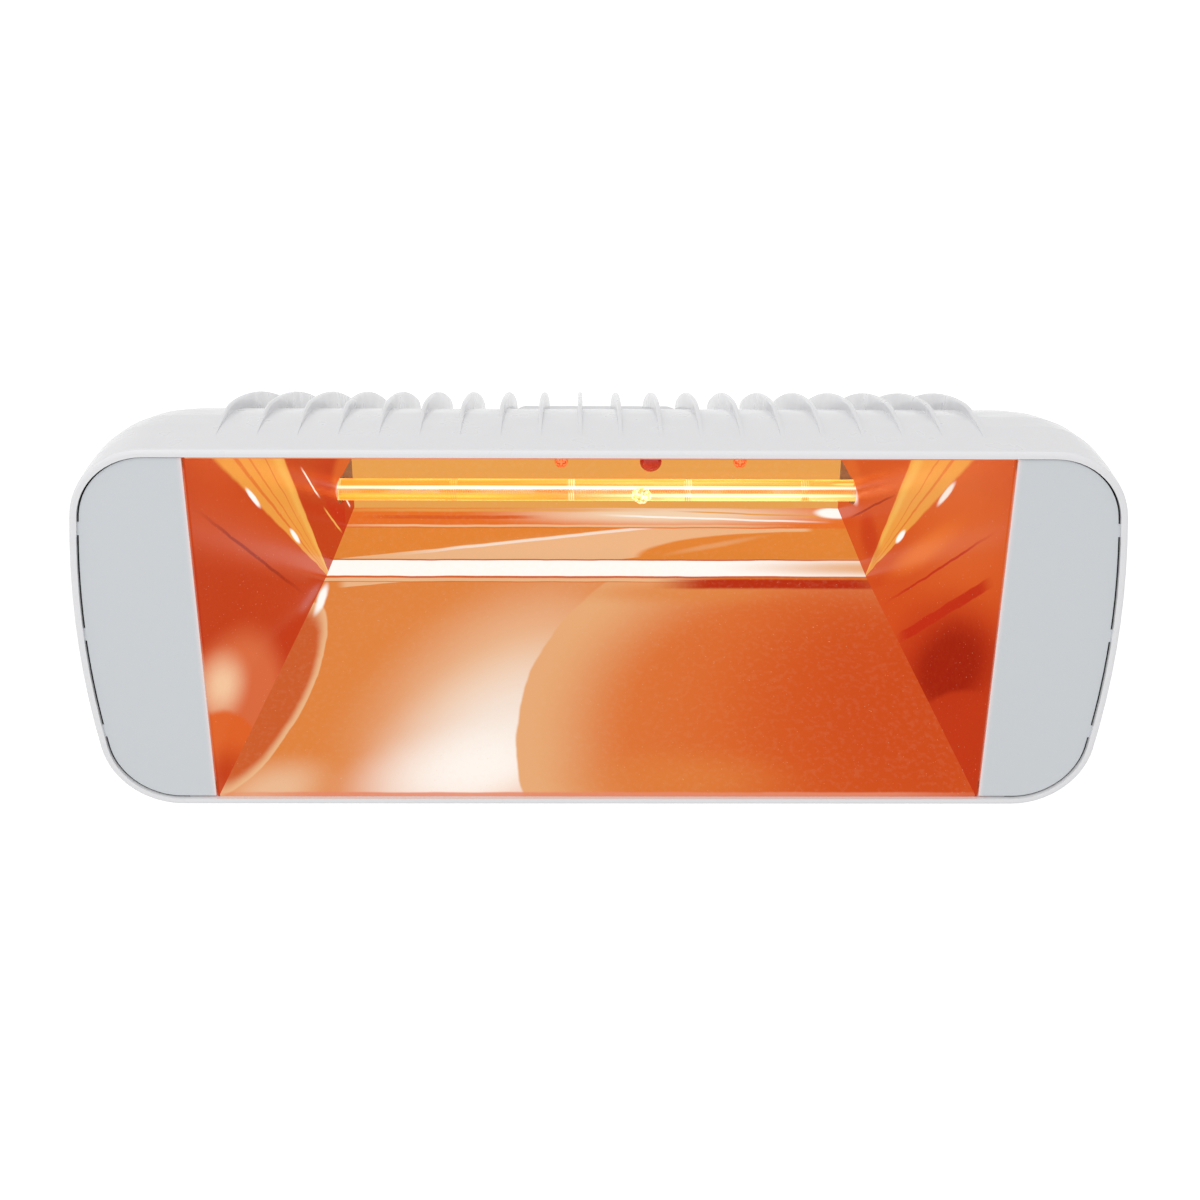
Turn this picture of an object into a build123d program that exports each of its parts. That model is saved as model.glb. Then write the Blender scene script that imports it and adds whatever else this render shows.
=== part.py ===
from build123d import *
from math import atan2, cos, pi, radians, sin, sqrt, tan
import os

# Infrared heater for a wall: a finned casting open at the front, with a trough reflector,
# a halogen tube across it and a tilting fork behind. Lengths are in millimetres.
# Every piece is drawn with the casting's open face at depth 0, +Y running back to the wall
# and Z = 0 on the lamp's level. The last step moves all of it, so that the origin is the
# centre of the wall plate's back face and the wall is the plane Y = 0.

# Casting: the open face
half_width = 224.5
half_height = 86.0
side_bulge_radius = 422.0
front_corner = 34.0
casing_wall = 3.2
lip_radius = 1.6

# Reflector: the back strip and the bends in front of it
strip_depth = 172.0
strip_half_height = 16.0
bends_forward = (12.0, 30.0, 40.0)
bends_above = (6.0, 15.0, 20.0)

# Casting: how it narrows towards the back
back_room = 39.0
straight_depth = 14.0
shoulder_radius = 180.0
back_slope = 21.25
casing_depth = strip_depth + back_room
nose_radius = 16.0
side_share = 0.44
corner_growth = 0.766
corner_fade = 61.0
corner_limit = 0.85
back_corner = 2.0
shoulder_steps = 4
cone_steps = 5
nose_steps = 4
lip_steps = 3
hollow_steps = 3

# Cooling fins, and the flat stretch of the casting that they stand on
fin_count = 20
fin_margin = 63.95
fin_pitch = 2 * (half_width - fin_margin) / (fin_count - 1)
fin_thickness = 1.5
fin_start = 8.0
fin_crest_depth = 25.0
fin_crest_rise = 0.2
fin_arc_radius = 216.0
fin_reach = 6.0
fin_depth = casing_depth + fin_reach
fin_nose_radius = 24.0
cheek_margin = 60.5
cheek_x = half_width - cheek_margin

# Reflector: the mouth, the sheet and the end walls
panel_width = 53.6
mouth_half_width = half_width - panel_width
mouth_set_in = 4.4
mouth_half_height = half_height - mouth_set_in
mouth_depth = 1.8
sheet = 0.8
end_splay = 0.27
end_hole_radius = 7.2
notch_half_height = 12.0

# Lamp
lamp_forward = 14.0
lamp_depth = strip_depth - lamp_forward
lamp_overhang = 38.8
lamp_half_length = mouth_half_width - end_splay * lamp_depth + lamp_overhang
cap_radius = 6.5
cap_length = 20.0
cap_gap = 6.0
tube_radius = 5.5
tube_wall = 1.0
tube_half_length = lamp_half_length - cap_length - cap_gap
pinch_length = 9.0
pinch_thickness = 3.0
filament_radius = 0.9
filament_gap = 8.0
filament_half_length = tube_half_length - filament_gap
support_gaps = (10.2, 36.6)
support_count = 5
support_thickness = 1.0
tip_x = 22.5
tip_radius = 4.4
tip_end_radius = 1.8
tip_reach = 3.3

# Lamp holders and their brackets
holder_depth = 20.0
holder_height = 20.0
holder_overlap = 9.0
holder_width = 24.0
holder_inner = lamp_half_length - holder_overlap
holder_outer = holder_inner + holder_width
socket_clearance = 0.3
strip_metal = 1.0
bracket_sheet = 1.6
bracket_height = 16.0
bracket_overlap = 6.0
bracket_end_gap = 4.0
bracket_x = (holder_inner - bracket_overlap, holder_outer - bracket_end_gap)
bracket_pad_room = 8.0
bracket_pad_depth = casing_depth - bracket_pad_room

# Side panels and their gaskets
panel_sheet = 1.5
panel_front = 1.5
panel_gap = 0.8
panel_flange = 9.0
panel_tab = 6.0
panel_tab_sheet = 0.6
panel_tab_heights = (50.0, 0.0, -48.0)
gasket_pad = 1.5
gasket_ease = 0.05
gasket_width = 4.5
gasket_lip_set_back = 0.7
gasket_clear = 13.1
gasket_start_x = mouth_half_width + gasket_clear
ledge_width = 5.0
ledge_thickness = 3.0
ledge_clear = 6.1
ledge_start_x = mouth_half_width + ledge_clear
ledge_front = panel_front + panel_sheet + gasket_pad
ledge_back = ledge_front + ledge_thickness
stud_set_in = 25.5
stud_drop = 26.0
stud_x = half_width - stud_set_in
stud_z = half_height - stud_drop
stud_radius = 2.0
stud_length = 14.0
lug_width = 16.0
lug_reach = 8.0

# Reflector fixing and wiring behind it
wiring_x = 27.5
reflector_screw_span = 91.0
reflector_screw_height = 9.7
post_radius = 4.5
post_hole_depth = 16.0
post_screw_length = 14.0
plug_radius = 5.5
plug_height = 10.0
plug_crown = 2.6
plug_stem_radius = 3.0
block_length = 30.0
block_height = 18.0
block_thickness = 12.0
block_pad_room = 11.0
block_pad_depth = casing_depth - block_pad_room
earth_x = -50.0
lead_radius = 1.5
lead_sides = 8
lead_bend = 5.0

# Screws: shank radius, head radius, head height
small_screw = (1.5, 2.9, 2.0)
reflector_screw = (2.0, 3.4, 2.2)
casting_screw = (3.0, 5.0, 6.0)
screw_depth = 5.0
hole_clearance = 0.1

# Sides that small round parts are drawn with, to keep them light
small_sides = 12
ring_sides = 24

# Rear pad, knuckle and pivot
rear_pad = (90.0, 44.0, 8.0)
knuckle_flange = (84.0, 40.0, 6.0)
knuckle_screw_spacing = (64.0, 24.0)
knuckle_screw_depth = 8.0
tongue_width = 30.0
pivot_reach = 26.0
pivot_depth = fin_depth + pivot_reach
pivot_drop = 18.0
lobe_radius = 13.0
pivot_radius = 4.0
running_clearance = 0.05
disc_thickness = 1.5
disc_radius = 11.0
disc_gap = 0.1

# Wall fork and its fasteners
pivot_to_wall = 37.0
wall_depth = pivot_depth + pivot_to_wall
wall_plate = (100.0, 70.0, 4.0)
plate_top_drop = 15.0
plate_corner = 7.0
wall_hole_spacing = (76.0, 46.0)
wall_hole_radius = 3.25
ear_thickness = 4.0
ear_foot_margin = 7.0
washer_thickness = 1.6
washer_radius = 8.0
bolt_head = (13.0, 5.3)
lock_nut = (13.0, 8.0)
bolt_tail = 2.0

# Cable gland
gland_x = -115.0
gland_pad_radius = 15.0
gland_thread_radius = 8.0
gland_hex = 20.0
gland_flange = 5.0
gland_inside = 10.0
gland_collar = 9.0
gland_bore_radius = 6.0
gland_nut_length = 15.0
gland_nut_radius = 10.0
gland_nut_end = 5.0
cable_hole_radius = 4.5
seal_bore_radius = 4.2

back_tangent = tan(radians(back_slope))
shoulder_end = straight_depth + shoulder_radius * sin(radians(back_slope))
shoulder_drop = shoulder_radius * (1 - cos(radians(back_slope)))
nose_start = casing_depth - nose_radius * (1 - sin(radians(back_slope)))


def slice_at(depth):
    """Plane of constant depth, seen from the front."""
    return Plane(origin=(0, depth, 0), x_dir=(1, 0, 0), z_dir=(0, -1, 0))


def slab(sketch, front, back):
    """Sketch in X and Z made solid between two depths."""
    return extrude(slice_at(back) * sketch, back - front)


def cross_slab(sketch, x_low, x_high):
    """Sketch in Y and Z made solid between two X values."""
    return extrude(Plane.YZ.offset(x_low) * sketch, x_high - x_low)


def block(x_range, y_range, z_range):
    """Plain box between three pairs of limits."""
    size = [high - low for low, high in (x_range, y_range, z_range)]
    centre = [(low + high) / 2 for low, high in (x_range, y_range, z_range)]
    return Pos(*centre) * Box(*size)


def rod_along_depth(x, z, radius, front, back):
    """Round bar that runs from one depth to another."""
    return slab(Pos(x, z) * Circle(radius), front, back)


def rod_across(depth, z, radius, x_low, x_high):
    """Round bar that runs along X."""
    return cross_slab(Pos(depth, z) * Circle(radius), x_low, x_high)


def bar_along_depth(x, z, radius, front, back, sides=small_sides):
    """Few-sided bar for small fasteners and their holes."""
    return slab(Pos(x, z) * RegularPolygon(radius, sides), front, back)


def bar_across(depth, z, radius, x_low, x_high, sides=small_sides):
    """Few-sided bar that runs along X."""
    return cross_slab(Pos(depth, z) * RegularPolygon(radius, sides), x_low, x_high)


def flat_height(depth):
    """Half height of the casting before its nose rounds it off."""
    if depth <= straight_depth:
        return half_height
    if depth <= shoulder_end:
        run = depth - straight_depth
        return half_height - shoulder_radius + sqrt(shoulder_radius**2 - run**2)
    return half_height - shoulder_drop - (depth - shoulder_end) * back_tangent


def side_curves(depth, inset):
    """Centres and radii of the corner and the bulged side at one depth, and where they meet."""
    height = flat_height(depth)
    lost = half_height - height
    corner = front_corner + corner_growth * lost - lost**2 / corner_fade
    corner = min(max(corner, nose_radius + back_corner), corner_limit * height) - inset
    width = half_width - side_share * lost - inset
    height -= inset
    bulge = side_bulge_radius - inset
    bulge_x = width - bulge
    corner_x = bulge_x + sqrt((bulge - corner) ** 2 - (height - corner) ** 2)
    meeting = atan2(height - corner, corner_x - bulge_x)
    return width, height, corner, corner_x, bulge, bulge_x, meeting


def on_circle(centre, radius, turn):
    return (centre[0] + radius * cos(turn), centre[1] + radius * sin(turn))


def right_side(depth, inset):
    """Upper corner, bulged side and lower corner of the outline, from the top round to the bottom."""
    width, height, corner, corner_x, bulge, bulge_x, meeting = side_curves(depth, inset)
    centre = (corner_x, height - corner)
    middle = on_circle(centre, corner, (pi / 2 + meeting) / 2)
    end = on_circle(centre, corner, meeting)
    return [
        ThreePointArc((corner_x, height), middle, end),
        ThreePointArc(end, (width, 0), (end[0], -end[1])),
        ThreePointArc((end[0], -end[1]), (middle[0], -middle[1]), (corner_x, -height)),
    ]


def casing_outline(depth, inset=0.0):
    """Rounded outline with bulged sides at one depth, drawn in by an inset all round."""
    height = flat_height(depth) - inset
    right = right_side(depth, inset)
    corner_x = right[0].start_point().X
    left = [mirror(edge, Plane.YZ) for edge in right]
    flats = [Line((-corner_x, height), (corner_x, height)), Line((-corner_x, -height), (corner_x, -height))]
    return make_face(right + left + flats)


def cheek_outline(depth, inset=0.0):
    """The outline's right end, closed by a straight line where the casting's middle begins."""
    height = flat_height(depth) - inset
    right = right_side(depth, inset)
    corner_x = right[0].start_point().X
    return slice_at(depth) * make_face([
        Line((cheek_x, -height), (cheek_x, height)),
        Line((cheek_x, height), (corner_x, height)),
        *right,
        Line((corner_x, -height), (cheek_x, -height)),
    ])


def hollow_outline(depth, inset):
    """The outline inside the casting, its corners as three flats and its bulges as four."""
    width, height, corner, corner_x, bulge, bulge_x, meeting = side_curves(depth, inset)
    centre = (corner_x, height - corner)
    turns = [pi / 2 + (meeting - pi / 2) * step / 3 for step in range(4)]
    upper = [on_circle(centre, corner, turn) for turn in turns]
    upper.append(on_circle((bulge_x, 0), bulge, meeting / 2))
    right = upper + [(width, 0)] + [(x, -z) for x, z in reversed(upper)]
    left = [(-x, z) for x, z in reversed(right)]
    return make_face(Polyline(*right, *left, close=True))


def shoulder_depths(steps):
    """Depths along the round shoulder, at equal turns."""
    turns = [radians(back_slope * step / steps) for step in range(steps + 1)]
    return [straight_depth + shoulder_radius * sin(turn) for turn in turns]


def cone_depths(steps):
    """Depths along the straight slope behind the shoulder."""
    return [shoulder_end + (nose_start - shoulder_end) * step / steps for step in range(steps + 1)]


def nose_stages(radius, steps):
    """Depth of each step round the nose, and how far the outline has drawn in there."""
    turns = [radians(back_slope + (90 - back_slope) * step / steps) for step in range(steps + 1)]
    first = casing_depth - nose_radius + radius * sin(turns[0])
    drop = (nose_start - first) * back_tangent
    return [(casing_depth - nose_radius + radius * sin(turn), radius * (cos(turns[0]) - cos(turn)) - drop)
            for turn in turns]


def side_profile():
    """Side view of the casting's middle: straight, round shoulder, slope and nose."""
    slope = radians(back_slope)
    half_turn = slope / 2
    nose_height = flat_height(nose_start)
    nose_centre = (casing_depth - nose_radius, nose_height - nose_radius * cos(slope))
    shoulder_middle = (straight_depth + shoulder_radius * sin(half_turn),
                       half_height - shoulder_radius * (1 - cos(half_turn)))
    nose_middle = on_circle(nose_centre, nose_radius, radians(90 - back_slope) / 2)
    back = (casing_depth, nose_centre[1])
    upper = [
        Line((lip_radius, 0), (lip_radius, half_height)),
        Line((lip_radius, half_height), (straight_depth, half_height)),
        ThreePointArc((straight_depth, half_height), shoulder_middle,
                      (shoulder_end, half_height - shoulder_drop)),
        Line((shoulder_end, half_height - shoulder_drop), (nose_start, nose_height)),
        ThreePointArc((nose_start, nose_height), nose_middle, back),
        Line(back, (casing_depth, 0)),
        Line((casing_depth, 0), (lip_radius, 0)),
    ]
    half = make_face(upper)
    return half + mirror(half, Plane.XZ)


def cheek():
    """Right end of the casting behind its straight rim."""
    stations = shoulder_depths(shoulder_steps) + cone_depths(cone_steps)[1:]
    body = loft([cheek_outline(depth) for depth in stations], ruled=True)
    nose = loft([Pos(0, depth - nose_start, 0) * cheek_outline(nose_start, drawn_in)
                 for depth, drawn_in in nose_stages(nose_radius, nose_steps)], ruled=True)
    return body + nose


def front_lip():
    """Rounded front edge of the casting."""
    turns = [radians(90 * step / lip_steps) for step in range(lip_steps + 1)]
    return loft([slice_at(lip_radius * (1 - cos(turn))) * casing_outline(0, lip_radius * (1 - sin(turn)))
                 for turn in turns], ruled=True)


def casing_body():
    """The casting's outer form: rim, middle and the two cheeks."""
    rim = slab(casing_outline(0), lip_radius, straight_depth) + front_lip()
    right = cheek()
    return rim + [cross_slab(side_profile(), -cheek_x, cheek_x), right, mirror(right, Plane.YZ)]


def casing_hollow():
    """Space inside the casting, one wall thickness in from it."""
    pocket = slab(casing_outline(0, casing_wall), 0, straight_depth)
    depths = shoulder_depths(hollow_steps) + cone_depths(hollow_steps)[1:-1]
    stages = [slice_at(depth) * hollow_outline(depth, casing_wall) for depth in depths]
    for depth, drawn_in in nose_stages(nose_radius - casing_wall, hollow_steps - 1):
        stages.append(slice_at(depth) * hollow_outline(nose_start, casing_wall + drawn_in))
    return pocket + loft(stages, ruled=True)


def fin_blade():
    """One cooling fin as a plate that runs over the top, the back and the bottom."""
    slope = radians(back_slope)
    crest = half_height + fin_crest_rise
    arc_end = fin_crest_depth + fin_arc_radius * sin(slope)
    arc_end_height = crest - fin_arc_radius * (1 - cos(slope))
    back_height = arc_end_height - (fin_depth - arc_end) * back_tangent
    front_run = fin_crest_depth - fin_start
    front_height = crest - fin_arc_radius + sqrt(fin_arc_radius**2 - front_run**2)
    upper = make_face([
        Line((fin_start, 0), (fin_start, front_height)),
        ThreePointArc((fin_start, front_height), (fin_crest_depth, crest),
                      (arc_end, arc_end_height)),
        Line((arc_end, arc_end_height), (fin_depth, back_height)),
        Line((fin_depth, back_height), (fin_depth, 0)),
        Line((fin_depth, 0), (fin_start, 0)),
    ])
    corner = upper.vertices().sort_by_distance((fin_depth, back_height))[0]
    upper = fillet(corner, fin_nose_radius)
    blade = upper + mirror(upper, Plane.XZ)
    return cross_slab(blade, -fin_thickness / 2, fin_thickness / 2)


def fin_places():
    first = -fin_pitch * (fin_count - 1) / 2
    return [first + fin_pitch * step for step in range(fin_count)]


def reflector_screw_places():
    return [wiring_x - reflector_screw_span / 2, wiring_x + reflector_screw_span / 2]


def bracket_screw_places(side):
    """The two fixing points of a holder bracket's foot or seat, as X values."""
    low, high = bracket_x
    return [side * (low + (high - low) * part) for part in (0.2, 0.68)]


def stud_places():
    return [(x, z) for x in (-stud_x, stud_x) for z in (-stud_z, stud_z)]


def knuckle_screw_places():
    across, up = knuckle_screw_spacing
    return [(x, z) for x in (-across / 2, across / 2) for z in (-up / 2, up / 2)]


def inner_pads():
    """Gasket ledges, lugs, posts and pads inside the casting."""
    ring = slab(casing_outline(0, casing_wall / 2), ledge_front, ledge_back)
    ring -= slab(casing_outline(0, casing_wall + ledge_width), ledge_front, ledge_back)
    ring -= block((-ledge_start_x, ledge_start_x), (0, straight_depth), (-half_height, half_height))
    pads = [ring]
    for x, z in stud_places():
        up = 1 if z > 0 else -1
        z_range = sorted((up * (stud_z - lug_reach), up * half_height))
        pads.append(block((x - lug_width / 2, x + lug_width / 2), (ledge_front, ledge_back), z_range))
    for x in reflector_screw_places():
        pads.append(bar_along_depth(x, reflector_screw_height, post_radius, strip_depth + sheet, casing_depth))
    half_block = block_length / 2 + 2
    pads.append(block((wiring_x - half_block, wiring_x + half_block), (block_pad_depth, casing_depth),
                      (-block_height / 2, block_height / 2)))
    pads.append(bar_along_depth(earth_x, 0, post_radius, block_pad_depth, casing_depth))
    for side in (-1, 1):
        x_range = sorted(side * x for x in bracket_x)
        pads.append(block(x_range, (bracket_pad_depth, casing_depth), (-bracket_height / 2, bracket_height / 2)))
    return pads


def inner_holes():
    """Holes in the ledges, posts and pads."""
    small_hole = small_screw[0] + hole_clearance
    large_hole = reflector_screw[0] + hole_clearance
    holes = [bar_along_depth(x, z, stud_radius + 2 * hole_clearance, ledge_front, ledge_back)
             for x, z in stud_places()]
    holes += [bar_along_depth(x, reflector_screw_height, large_hole, strip_depth, strip_depth + post_hole_depth)
              for x in reflector_screw_places()]
    holes += [bar_along_depth(x, 0, small_hole, bracket_pad_depth, bracket_pad_depth + screw_depth)
              for side in (-1, 1) for x in bracket_screw_places(side)]
    holes += [bar_along_depth(x, 0, small_hole, block_pad_depth, block_pad_depth + screw_depth + 2)
              for x in block_screw_places()]
    holes.append(bar_along_depth(earth_x, 0, large_hole, block_pad_depth, block_pad_depth + screw_depth + 2))
    return holes


def housing():
    """Aluminium casting: finned shell, gasket ledges, inner pads and posts, rear pads."""
    outer = casing_body()
    pad_x, pad_z, pad_corner = rear_pad
    blade = fin_blade()
    solid = outer + [Pos(x, 0, 0) * blade for x in fin_places()]
    solid += slab(RectangleRounded(pad_x, pad_z, pad_corner), nose_start, fin_depth)
    solid += rod_along_depth(gland_x, 0, gland_pad_radius, nose_start, fin_depth)
    shell = solid - casing_hollow()
    pads = inner_pads()
    shell += ((pads[0] + pads[1:]) & outer) - inner_holes()
    holes = [bar_along_depth(x, z, casting_screw[0] + hole_clearance,
                             fin_depth - knuckle_screw_depth, fin_depth)
             for x, z in knuckle_screw_places()]
    holes.append(bar_along_depth(gland_x, 0, gland_thread_radius + hole_clearance,
                                 casing_depth - casing_wall - 1, fin_depth, ring_sides))
    return shell - holes


def block_screw_places():
    return [wiring_x - block_length / 6, wiring_x + block_length / 6]


def panel_outline(inset):
    """Outline inside the casting's rim, drawn in by the given amount."""
    return casing_outline(0, casing_wall + inset)


def end_panel(side):
    """Side panel: flat face with edge tabs, a return flange by the reflector and two studs."""
    inner_x = mouth_half_width + sheet * sqrt(1 + end_splay**2) + 0.2
    face = panel_outline(panel_gap) - Rectangle(2 * inner_x, 2 * half_height)
    face = face & (Pos(side * half_width, 0) * Rectangle(2 * half_width, 2 * half_height))
    panel = slab(face, panel_front, panel_front + panel_sheet)
    rim = panel_outline(gasket_ease) - panel_outline(panel_gap + 1)
    for height in panel_tab_heights:
        strip = Pos(side * half_width, height) * Rectangle(half_width, panel_tab)
        panel += slab(rim & strip, panel_front, panel_front + panel_tab_sheet)
    flange_x = sorted((side * inner_x, side * (inner_x + panel_sheet)))
    flange_z = mouth_half_height - 6
    panel += block(flange_x, (panel_front, panel_front + panel_flange), (-flange_z, flange_z))
    for x, z in stud_places():
        if x * side > 0:
            panel += bar_along_depth(x, z, stud_radius, panel_front + panel_sheet / 2,
                                     panel_front + panel_sheet + stud_length)
    return panel


def panel_gasket(side):
    """Black rubber strip: a pad under the panel's edge and a lip that fills the seam."""
    pad_front = panel_front + panel_sheet
    pad = slab(panel_outline(gasket_ease) - panel_outline(gasket_width), pad_front, pad_front + gasket_pad)
    lip = slab(panel_outline(gasket_ease) - panel_outline(panel_gap), panel_front + gasket_lip_set_back,
               pad_front)
    keep = sorted((side * gasket_start_x, side * (half_width + 1)))
    return (pad + lip) & block(keep, (0, ledge_back), (-half_height, half_height))


def hex_bar(across_flats):
    return RegularPolygon(across_flats / 2, 6, major_radius=False)


def panel_nuts():
    nut = hex_bar(7.0) - RegularPolygon(stud_radius + hole_clearance, small_sides)
    return [slab(Pos(x, z) * nut, ledge_back, ledge_back + 3.2) for x, z in stud_places()]


def reflector_profile():
    """Reflecting line from the lower lip to the upper one, closed across the mouth."""
    lower = [(mouth_depth, -mouth_half_height)]
    for forward, above in zip(reversed(bends_forward), reversed(bends_above)):
        lower.append((strip_depth - forward, -strip_half_height - above))
    lower.append((strip_depth, -strip_half_height))
    upper = [(depth, -height) for depth, height in reversed(lower)]
    return make_face(Polyline(*lower, *upper, close=True))


def reflector_outside():
    """The same profile grown by the sheet, trimmed at the mouth."""
    grown = offset(reflector_profile(), sheet, kind=Kind.INTERSECTION)
    before_mouth = Pos(mouth_depth - half_height, 0) * Rectangle(2 * half_height, 4 * half_height)
    return grown - before_mouth


def beam_prism(extra):
    """Space between the two splayed end walls, grown sideways by an extra amount."""
    near, far = mouth_depth, strip_depth + 2 * sheet
    near_x = mouth_half_width - end_splay * near + extra
    far_x = mouth_half_width - end_splay * far + extra
    plan = make_face(Polyline((-near_x, near), (near_x, near), (far_x, far), (-far_x, far), close=True))
    return extrude(Plane.XY.offset(-half_height) * plan, 2 * half_height)


def reflector_trough():
    """Bent mirror sheet: lower and upper walls, the bends behind the lamp and the back strip."""
    section = reflector_outside() - reflector_profile()
    trough = cross_slab(section, -half_width, half_width) & beam_prism(0)
    for x in reflector_screw_places():
        trough -= bar_along_depth(x, reflector_screw_height, reflector_screw[0] + hole_clearance,
                                  strip_depth - 1, strip_depth + 2)
    trough -= bar_along_depth(wiring_x, plug_height, plug_stem_radius + hole_clearance,
                              strip_depth - 1, strip_depth + 2)
    return trough


def reflector_end(side):
    """Splayed end wall with the lamp's hole and the notch that opens to the back."""
    skin = sheet * sqrt(1 + end_splay**2)
    plate = cross_slab(reflector_outside(), -half_width, half_width)
    plate = plate & (beam_prism(skin) - beam_prism(0))
    keep = sorted((0, side * half_width))
    plate = plate & block(keep, (0, strip_depth + 2), (-half_height, half_height))
    hole = Pos(lamp_depth, 0) * Circle(end_hole_radius)
    far = strip_depth + 2
    notch = make_face(Polyline((lamp_depth, end_hole_radius * 0.9), (far, notch_half_height),
                               (far, -notch_half_height), (lamp_depth, -end_hole_radius * 0.9),
                               close=True))
    return plate - cross_slab(hole + notch, -half_width, half_width)


def screw(x, z, seat, size, length):
    """Pan-head screw that enters at a depth and runs back."""
    shank, head, head_height = size
    crown = bar_along_depth(x, z, head, seat - head_height, seat)
    crown = chamfer(crown.edges().group_by(Axis.Y)[0], head_height * 0.4)
    return crown + bar_along_depth(x, z, shank, seat, seat + length)


def reflector_screws():
    return [screw(x, reflector_screw_height, strip_depth, reflector_screw, post_screw_length)
            for x in reflector_screw_places()]


def reflector_plug():
    """Red silicone plug with a rounded head in the back strip."""
    head = bar_along_depth(wiring_x, plug_height, plug_radius, strip_depth - plug_crown, strip_depth, ring_sides)
    head = chamfer(head.edges().group_by(Axis.Y)[0], plug_crown * 0.6)
    return head + bar_along_depth(wiring_x, plug_height, plug_stem_radius, strip_depth, strip_depth + 4)


def lamp_tube():
    """Quartz tube with flattened ends and the sealed-off exhaust tip."""
    tube = rod_across(lamp_depth, 0, tube_radius, -tube_half_length, tube_half_length)
    tip_base = lamp_depth - sqrt(tube_radius**2 - tip_radius**2)
    tip_length = tip_base - (lamp_depth - tube_radius - tip_reach)
    tip = Plane(origin=(tip_x, tip_base, 0), z_dir=(0, -1, 0)) * Pos(0, 0, tip_length / 2)
    tube += tip * Cone(tip_radius, tip_end_radius, tip_length)
    inner_end = tube_half_length - 2
    tube -= rod_across(lamp_depth, 0, tube_radius - tube_wall, -inner_end, inner_end)
    cap_start = lamp_half_length - cap_length
    for side in (-1, 1):
        reach = sorted((side * (tube_half_length - 1), side * (cap_start + pinch_length)))
        tube += block(reach, (lamp_depth - pinch_thickness / 2, lamp_depth + pinch_thickness / 2),
                      (-tube_radius * 0.9, tube_radius * 0.9))
    return tube


def lamp_filament():
    """Envelope of the wound tungsten wire on the tube's axis."""
    return rod_across(lamp_depth, 0, filament_radius, -filament_half_length, filament_half_length)


def lamp_supports():
    """Discs that hold the filament on the axis."""
    hole_radius = (filament_radius + 0.1) / cos(pi / small_sides)
    ring = RegularPolygon(tube_radius - tube_wall - 0.1, small_sides) - RegularPolygon(hole_radius, small_sides)
    ring = Pos(lamp_depth, 0) * ring
    left_gap, right_gap = support_gaps
    pitch = (2 * tube_half_length - left_gap - right_gap) / (support_count - 1)
    places = [left_gap - tube_half_length + pitch * step for step in range(support_count)]
    return [cross_slab(ring, x - support_thickness / 2, x + support_thickness / 2) for x in places]


def lamp_cap(side):
    """Ceramic end of the lamp, cemented round the flattened quartz."""
    start = lamp_half_length - cap_length
    ends = sorted((side * start, side * lamp_half_length))
    cap = bar_across(lamp_depth, 0, cap_radius, *ends, ring_sides)
    reach = sorted((side * start, side * (start + pinch_length)))
    slot = block(reach, (lamp_depth - pinch_thickness / 2, lamp_depth + pinch_thickness / 2),
                 (-tube_radius * 0.9, tube_radius * 0.9))
    return cap - slot


def lamp_holder(side):
    """Ceramic socket block, open towards the lamp, with a hole for the contact."""
    x_range = sorted((side * holder_inner, side * holder_outer))
    half_depth = holder_depth / 2
    body = block(x_range, (lamp_depth - half_depth, lamp_depth + half_depth),
                 (-holder_height / 2, holder_height / 2))
    body = fillet(body.edges().filter_by(Axis.X), 2.5)
    socket = sorted((side * (holder_inner - 1), side * (lamp_half_length + socket_clearance)))
    body -= bar_across(lamp_depth, 0, cap_radius + socket_clearance, *socket, ring_sides)
    inner = sorted((side * lamp_half_length, side * (holder_outer + 1)))
    body -= bar_across(lamp_depth, 0, 2.1, *inner)
    for x in bracket_screw_places(side)[1:]:
        for z in (-1, 1):
            body -= bar_along_depth(x, z * holder_height * 0.33, small_screw[0] + hole_clearance,
                                    lamp_depth - half_depth, lamp_depth + half_depth)
    return body


def contact_strip(side):
    """Brass contact pin in the holder and the strip that turns back outside it."""
    pin = sorted((side * lamp_half_length, side * (holder_outer + strip_metal)))
    strip = bar_across(lamp_depth, 0, 2.0, *pin)
    x_range = sorted((side * holder_outer, side * (holder_outer + strip_metal)))
    strip += block(x_range, (lamp_depth - 4, lamp_depth + holder_depth / 2 + 7), (-3.5, 3.5))
    return strip


def holder_bracket(side):
    """Channel-bent bracket: foot on the casting's pad, leg, and seat behind the holder."""
    seat_front = lamp_depth + holder_depth / 2
    foot_back = bracket_pad_depth
    low, high = bracket_x
    half = bracket_height / 2
    leg = sorted((side * (high - bracket_sheet), side * high))
    span = sorted((side * low, side * high))
    seat_span = sorted((side * holder_inner, side * high))
    bracket = block(leg, (seat_front, foot_back), (-half, half))
    bracket += block(seat_span, (seat_front, seat_front + bracket_sheet), (-half, half))
    bracket += block(span, (foot_back - bracket_sheet, foot_back), (-half, half))
    for x in bracket_screw_places(side):
        bracket -= bar_along_depth(x, 0, small_screw[0] + hole_clearance,
                                   foot_back - 2 * bracket_sheet, foot_back)
    for x in bracket_screw_places(side)[1:]:
        for z in (-1, 1):
            bracket -= bar_along_depth(x, z * holder_height * 0.33, small_screw[0] + hole_clearance,
                                       seat_front, seat_front + bracket_sheet)
    return bracket


def holder_screws():
    """Long screws through the holders into their seats."""
    front = lamp_depth - holder_depth / 2
    length = holder_depth + bracket_sheet + 2
    return [screw(bracket_screw_places(side)[1], z * holder_height * 0.33, front, small_screw, length)
            for side in (-1, 1) for z in (-1, 1)]


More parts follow.
